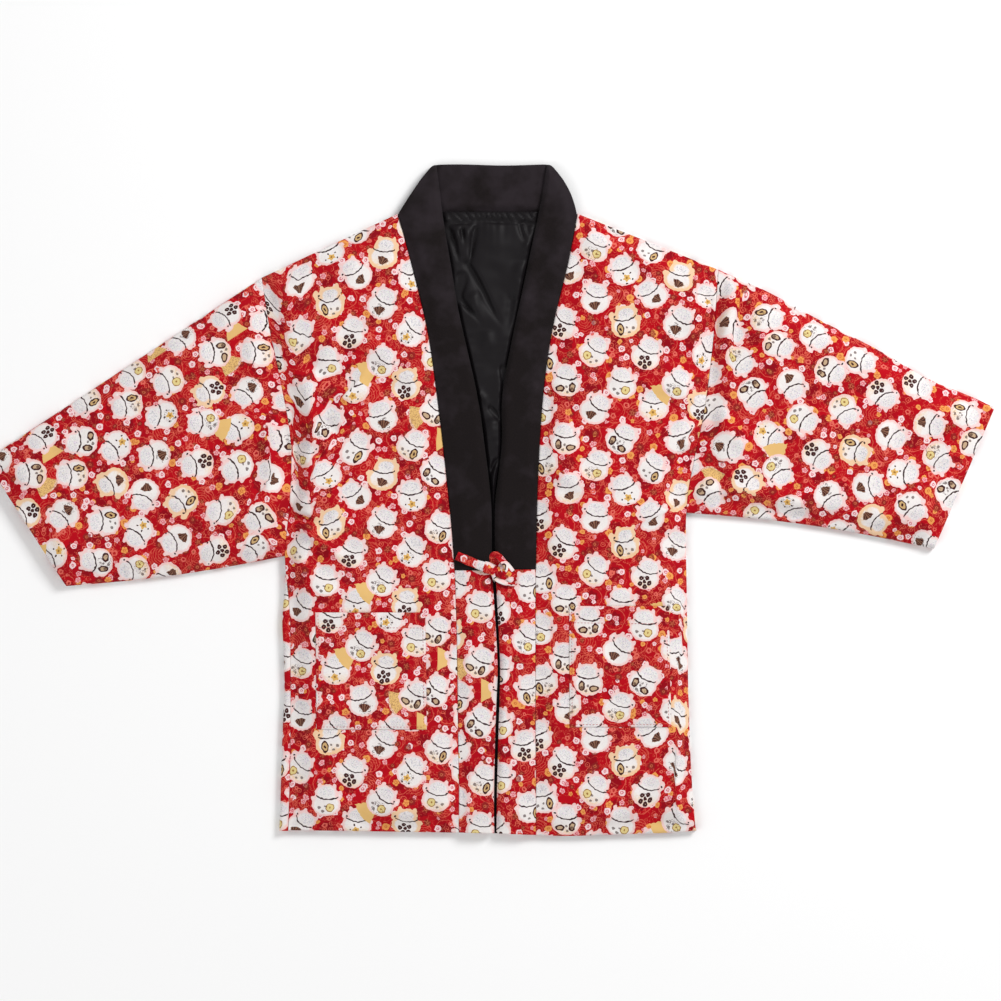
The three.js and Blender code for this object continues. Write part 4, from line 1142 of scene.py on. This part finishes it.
# =====================================================================================
# The collar: a wadded band folded double. Its upper stretch is covered in matt black cotton, the
# part at the back of the neck and one down each front, and its lower stretch is printed.
WAD_COLLAR = 8.5
COLLAR_TOP_Y = 420.0
COLLAR_WIDE = 180.0
BAND_WIDE = 52.0

black_cotton, wiring, shader, weave = make_cloth("black cotton", 0.94, 0.03, 0.00014)
shader.inputs["Specular IOR Level"].default_value = 0.12
speck = wiring.noise(wiring.cloth(), 900.0, 2.0, 0.6)
speck = wiring.ramp(speck, 0.4, 0.7, 0.0, 1.0)
tone = wiring.mix(speck, srgb(22, 17, 17), srgb(35, 28, 29))
# A cloudy tone at random, plus painted light: the black cloth is painted lighter towards the top of the
# collar, where the light falls more.
cloud_and_painted_light = wiring.noise(wiring.cloth(), 22.0, 3.0, 0.6)
up_cloth = wiring.parts(wiring.cloth())[1]
cloud_and_painted_light = wiring.math("ADD", cloud_and_painted_light, wiring.ramp(up_cloth, 0.1, 0.4, -0.08, 0.12))
tone = wiring.mix(wiring.ramp(cloud_and_painted_light, 0.42, 0.68, 0.0, 0.8), tone, srgb(50, 43, 48))
tone = wiring.mix(wiring.times(weave, 0.5), tone, srgb(17, 14, 15))
wiring.put(shader.inputs["Base Color"], tone)


def collar_top(x):
    return COLLAR_TOP_Y - 1.6 - 0.7 * np.sin(x / 19 + 0.6)


def collar_back_top(y):
    return mix(SEAM_THICK, WAD_COLLAR, ease(np.minimum((COLLAR_TOP_Y - y) / 12, (y - NECK_Y) / 16)))


def make_collar_back():
    tall = COLLAR_TOP_Y - NECK_Y - 0.8
    vs = stations(0, tall, step=3, near=(0.5, 1.2, 2.2, 3.6))[:, None] / tall
    us = stations(0, COLLAR_WIDE, step=3, near=(0.5, 1.2, 2.2, 3.6))[None, :] / COLLAR_WIDE
    top = mix(right_inner_rows[0][0], left_inner_rows[0][0], us)
    foot = mix(right_front_rows[0][2] + 2, left_front_rows[0][2] - 2, us)
    x = mix(top, foot, vs)
    y = mix(collar_top(x), NECK_Y + 0.8, vs)
    fold = 1 - rounded(3.2, collar_top(x) - y)
    drawn = pucker(y - NECK_Y, x, 1.4, reach=12, height=0.8, length=19)
    drawn = drawn + 0.5 * ease((1 - vs) * 4) * dimple(x, y)
    foot_roll = WAD_COLLAR * rounded(4, y - NECK_FOOT - 3 * (1 - (x / 60) ** 2)) - collar_back_top(y)
    clear = ease(np.minimum(x - right_inner_x(y), left_inner_x(y) - x) / 5)
    drawn = drawn * (0.2 + 0.8 * clear) * ease((COLLAR_TOP_Y - y) / 12)
    high = collar_back_top(y) - 1.2 * fold + drawn + clear * np.maximum(0, foot_roll)
    panel = sew("neck_collar", x, y, high, 2.4 * fold, black_cotton, black_cotton)
    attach(panel, "root")
    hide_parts("collar_back")


make_collar_back()


def band_base(x, y):
    under = np.where(y > NECK_Y, collar_back_top(y), back_top(x, y))
    on_collar = ease((y - NECK_Y - 4) / 12)
    return under + 2.9 - 2.1 * on_collar - 1.1 * (1 - rounded(3.2, COLLAR_TOP_Y - 1.6 - y))


collar_folds = [  # as the folds of the fronts
    (-112, 340, -62, 300, 12, 1.2, 0), (-96, 250, -52, 222, 10, -1.1, 0),
    (-74, 150, -28, 110, 11, 1.2, 0), (-62, 60, -12, 30, 11, -1.0, 0), (-50, -40, -8, -58, 10, 0.9, 0),
    (104, 336, 60, 302, 12, 1.2, 0), (92, 236, 44, 214, 10, -1.1, 0), (66, 140, 26, 118, 11, 1.1, 0),
    (58, 20, 16, 4, 11, -1.0, 0), (-44, -190, -2, -200, 9, 0.8, 0), (-40, -310, 0, -300, 10, -0.8, 0),
    (56, -180, 12, -196, 9, 0.8, 0), (56, -320, 14, -310, 10, -0.8, 0),
]
cover_pieces = []


def make_band(side_name, rows, inner_x, black_end, bulge):
    neck_x = outline(rows)[3]
    outward = math.copysign(1, rows[0][0])
    top_x = float(inner_x(COLLAR_TOP_Y)) + outward * 5

    def outer_x(y):
        up = np.clip((y - NECK_Y) / (COLLAR_TOP_Y - NECK_Y), 0, 1)
        wedge = mix(rows[0][2] - outward * 0.6, top_x, up) + outward * bulge * np.sin(math.pi * up)
        wedge = wedge - outward * 4.5 * (1 - rounded(4.5, COLLAR_TOP_Y - y))
        return np.where(y > NECK_Y, wedge, neck_x(y) - outward * 0.15)

    def stretch(name, node, first, last, cloth, lowered, start):
        ys = -stations(-first, -last, step=3, near=(0.5, 1.2, 2.2, 3.6))[:, None]
        us = stations(0, BAND_WIDE, step=2.6, near=(0.5, 1.2, 2.2, 3.6, 5.4))[None, :] / BAND_WIDE
        x = mix(outer_x(ys), inner_x(ys), us)
        level = np.broadcast_to(ys, x.shape)
        y = level + (collar_top(x) - COLLAR_TOP_Y) * ease((level - 400) / 18)
        y = y + (bottom_y(x) + 0.4 - HEM_Y) * ease((HEM_Y + 40 - level) / 40)
        wide = np.abs(outer_x(ys) - inner_x(ys))
        seam, fold = us * wide, (1 - us) * wide
        thick = mix(SEAM_THICK, WAD_COLLAR, np.minimum(ease(seam / 16), ease((0.45 + fold) / 7)))
        base = band_base(x, y)
        ends = rounded(2.4, np.minimum(first - level, level - last))
        round_off = 1.9 * (1 - rounded(3.0, fold)) + 1.4 * (1 - rounded(2.0, seam)) + 0.9 * (1 - ends)
        drawn = pucker(seam, y, 1.2, reach=12, height=0.7, length=24)
        drawn = drawn + 0.5 * pucker(fold, y, 2.4, reach=9, length=33)
        soft = 0.5 * swell(x * 2, y) + 0.45 * dimple(x, y) + lift(collar_folds, x, y)[0]
        soft = ease(np.minimum(seam, fold) / 14) * soft
        high = base + thick + (soft + drawn) * ease(seam / 4) * ease(fold / 3) - lowered - round_off
        low = base + 1.2 * (1 - rounded(3.0, fold))
        panel = sew(name, x, y, high, low, cloth, cloth, start=start)
        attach(panel, "root")
        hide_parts(node)
        cover_pieces.append(panel)

    stretch(
        "collar_cover_" + side_name, "collar_" + side_name, COLLAR_TOP_Y - 0.5, black_end,
        black_cotton, 0.0, (0, 0),
    )
    stretch(
        "printed_band_" + side_name, "band_" + side_name, black_end - 0.5, HEM_Y,
        printed_cotton, 1.2, (23 * outward, 51),
    )


make_band("right", right_front_rows, right_inner_x, -87.0, 1.0)
make_band("left", left_front_rows, left_inner_x, -86.0, 5.5)

# =====================================================================================
# The ties: narrow tubes of the printed cotton, sewn to the bands and knotted over the opening, with
# one squared tail, one small loop and one short end. They are turned right side out and lightly stuffed.
TIE_ROUND = 20
TIE_STEPS = 44
BANDS_HIGH = 17.0  # taken for the bands' height where no band is below a tie

seats = [BVHTree.FromObject(piece, bpy.context.evaluated_depsgraph_get()) for piece in cover_pieces]


def lies_at(x, y):
    """The height of the bands under a point, in millimetres."""
    hits = [seat.ray_cast(Vector((x * MM, y * MM, 0.1)), Vector((0, 0, -1)))[0] for seat in seats]
    return max([hit.z / MM for hit in hits if hit], default=BANDS_HIGH)


def strand(path, wide, thick, rolls, start, squared=(True, True), crumple=0.3, fullness=0.75):
    """A flat stuffed tube along a path of x, y and height of its middle over the bands. Its ends are
    squared off or drawn in, and rolls are its twist in degrees along the path."""
    spine = smooth_curve([(x, y, lies_at(x, y) + above) for x, y, above in path])
    t = np.linspace(0, 1, TIE_STEPS)
    at = spine(t * (len(path) - 1))
    ahead = np.gradient(at, axis=0)
    ahead /= np.linalg.norm(ahead, axis=1)[:, None]
    run = np.concatenate([[0], np.cumsum(np.linalg.norm(np.diff(at, axis=0), axis=1))])
    across = np.cross(ahead, [0, 0, 1.0])
    across /= np.linalg.norm(across, axis=1)[:, None]
    above = np.cross(across, ahead)
    roll = np.radians(np.interp(t, np.linspace(0, 1, len(rolls)), rolls))[:, None]
    across, above = across * np.cos(roll) + above * np.sin(roll), above * np.cos(roll) - across * np.sin(roll)
    angle = np.arange(TIE_ROUND) * math.tau / TIE_ROUND
    c, s = np.cos(angle), np.sin(angle)
    flat_c = np.sign(c) * np.abs(c) ** fullness
    flat_s = np.sign(s) * np.abs(s) ** 0.85
    ends = zip((run, run[-1] - run), squared)
    tip = np.minimum(*(far if square else far * 0.35 + 0.4 for far, square in ends))
    girth = np.sqrt(1 - (1 - np.clip(tip / 1.6, 0.02, 1)) ** 2)[:, None]
    ridges = crumple * np.sin(run / 1.9 + 1.3 * np.sin(run / 4.1))[:, None] * (0.4 + np.abs(flat_c))
    width = wide / 2 * (0.9 + 0.1 * girth) * flat_c * (1 + 0.04 * np.sin(run / 3.3))[:, None]
    rise = (thick / 2 * (0.35 + 0.65 * girth) + ridges * girth - 0.28 * np.cos(3 * angle) * crumple) * flat_s
    points = at[:, None] + across[:, None] * width[..., None] + above[:, None] * rise[..., None]
    faces = tube_faces(TIE_STEPS, TIE_ROUND).tolist()
    faces.append(list(range(TIE_ROUND)))
    faces.append([(TIE_STEPS - 1) * TIE_ROUND + k for k in range(TIE_ROUND)][::-1])
    around = np.where(s >= 0, -c, 2 + c) * wide / 2
    uv = np.stack(np.broadcast_arrays(around[None, :] + start[0], run[:, None] + start[1]), -1)
    return points.reshape(-1, 3) * MM, faces, uv.reshape(-1, 2) * MM


def make_tie(name, node, fill, *strands):
    points, faces, uv = [], [], []
    for some_points, some_faces, some_uv in strands:
        before = sum(len(p) for p in points)
        points.append(some_points)
        uv.append(some_uv)
        faces += [[k + before for k in face] for face in some_faces]
    tie = to_object(name, np.concatenate(points), faces, np.concatenate(uv), (printed_cotton,), None)
    face_outward(tie)
    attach(tie, "root")
    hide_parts(node)


make_tie(
    "tie_tail_right", "tie_end_right", 0.4,
    strand(
        [(-3, -84, 4.6), (-12, -81.5, 3.6), (-22, -77.6, 2.6), (-32, -73.4, 2.2), (-41.5, -69.4, 2.1)],
        11.5, 3.2, (0, 6, 3, -4), (6, 22),
    ),
)
make_tie(
    "tie_bow_loop", "tie_loop", 0.35,
    strand(
        [
            (10.6, -84.4, 3.4), (7.8, -79.4, 3.2), (5.0, -74, 3.2), (4.6, -70, 3.8), (8.2, -68.8, 4.8),
            (12.6, -71.8, 5.4), (17.0, -77, 5.6), (21.8, -83.6, 4.8), (26.4, -91, 3.4),
        ],
        11.5, 2.8, (4, 6, 10, 20, 42, 54, 50, 36, 14), (40, 64),
    ),
)
make_tie(
    "tie_short_end_left", "tie_end_left", 0.35,
    strand(
        [(8, -96.5, 3.4), (14.5, -99.4, 3.4), (22, -101.4, 3.0), (31.6, -101.4, 2.4)],
        11.5, 3.0, (48, 30, 10, 0), (84, 10), squared=(True, False),
    ),
)
make_tie(
    "tie_knot_body", "tie_knot", 0.7,
    strand(
        [(-8, -82.6, 3.4), (0, -85.4, 4.2), (11, -89.4, 4.4), (21, -93.4, 4.2), (28.5, -97.6, 3.2)],
        14, 6.6, (0, 0), (12, 40), squared=(False, False), crumple=0.4, fullness=0.9,
    ),
    strand(
        [(4.5, -78.6, 2.0), (4.0, -82, 5.6), (5.6, -88.4, 7.4), (8.4, -95, 6.2), (10.8, -99.8, 2.2)],
        12, 2.8, (4, -4), (33, 81), crumple=0.35,
    ),
    strand(
        [(15.5, -81.6, 2.4), (18, -85.6, 5.8), (22.6, -92, 6.4), (27, -98.6, 4.4), (29.4, -102.8, 2.2)],
        10, 2.8, (-6, 6), (61, 33), crumple=0.35,
    ),
)

# =====================================================================================
# The plain pale floor, and the soft light of a studio: a key light from the upper right, a weaker
# one from the lower left and light from all around. The camera looks straight down on the jacket.
FLOOR_SIZE = 12.0
ALL_AROUND = 0.56
FIELD = 1.25125  # metres of the jacket's plane that the camera sees from side to side
DISTANCE = 6.0
SENSOR = 36.0

bpy.ops.mesh.primitive_plane_add(size=FLOOR_SIZE, location=(0, 0, -0.0002))
floor = bpy.context.object
floor.name = "floor"
pale = bpy.data.materials.new("pale floor")
pale.use_nodes = True
pale.node_tree.nodes["Principled BSDF"].inputs["Base Color"].default_value = (0.93, 0.93, 0.93, 1)
pale.node_tree.nodes["Principled BSDF"].inputs["Roughness"].default_value = 0.9
floor.data.materials.append(pale)

world = bpy.data.worlds.new("studio")
world.use_nodes = True
world.node_tree.nodes["Background"].inputs[0].default_value = (1, 1, 1, 1)
world.node_tree.nodes["Background"].inputs[1].default_value = ALL_AROUND
bpy.context.scene.world = world

for name, place, size, power in (
    ("key light", (2.2, 1.9, 2.4), 1.3, 98),
    ("fill light", (-2.0, -1.6, 2.6), 2.4, 25),
):
    lamp = bpy.data.lights.new(name, "AREA")
    lamp.size = size
    lamp.energy = power
    light = bpy.data.objects.new(name, lamp)
    bpy.context.collection.objects.link(light)
    light.location = place
    light.rotation_euler = (-Vector(place)).to_track_quat("-Z", "Y").to_euler()

lens = bpy.data.cameras.new("camera")
lens.sensor_width = SENSOR
lens.lens = SENSOR * DISTANCE / FIELD
camera = bpy.data.objects.new("camera", lens)
bpy.context.collection.objects.link(camera)
camera.location = (0.0131, -0.0006, DISTANCE)
bpy.context.scene.camera = camera
bpy.context.scene.view_settings.view_transform = "Standard"
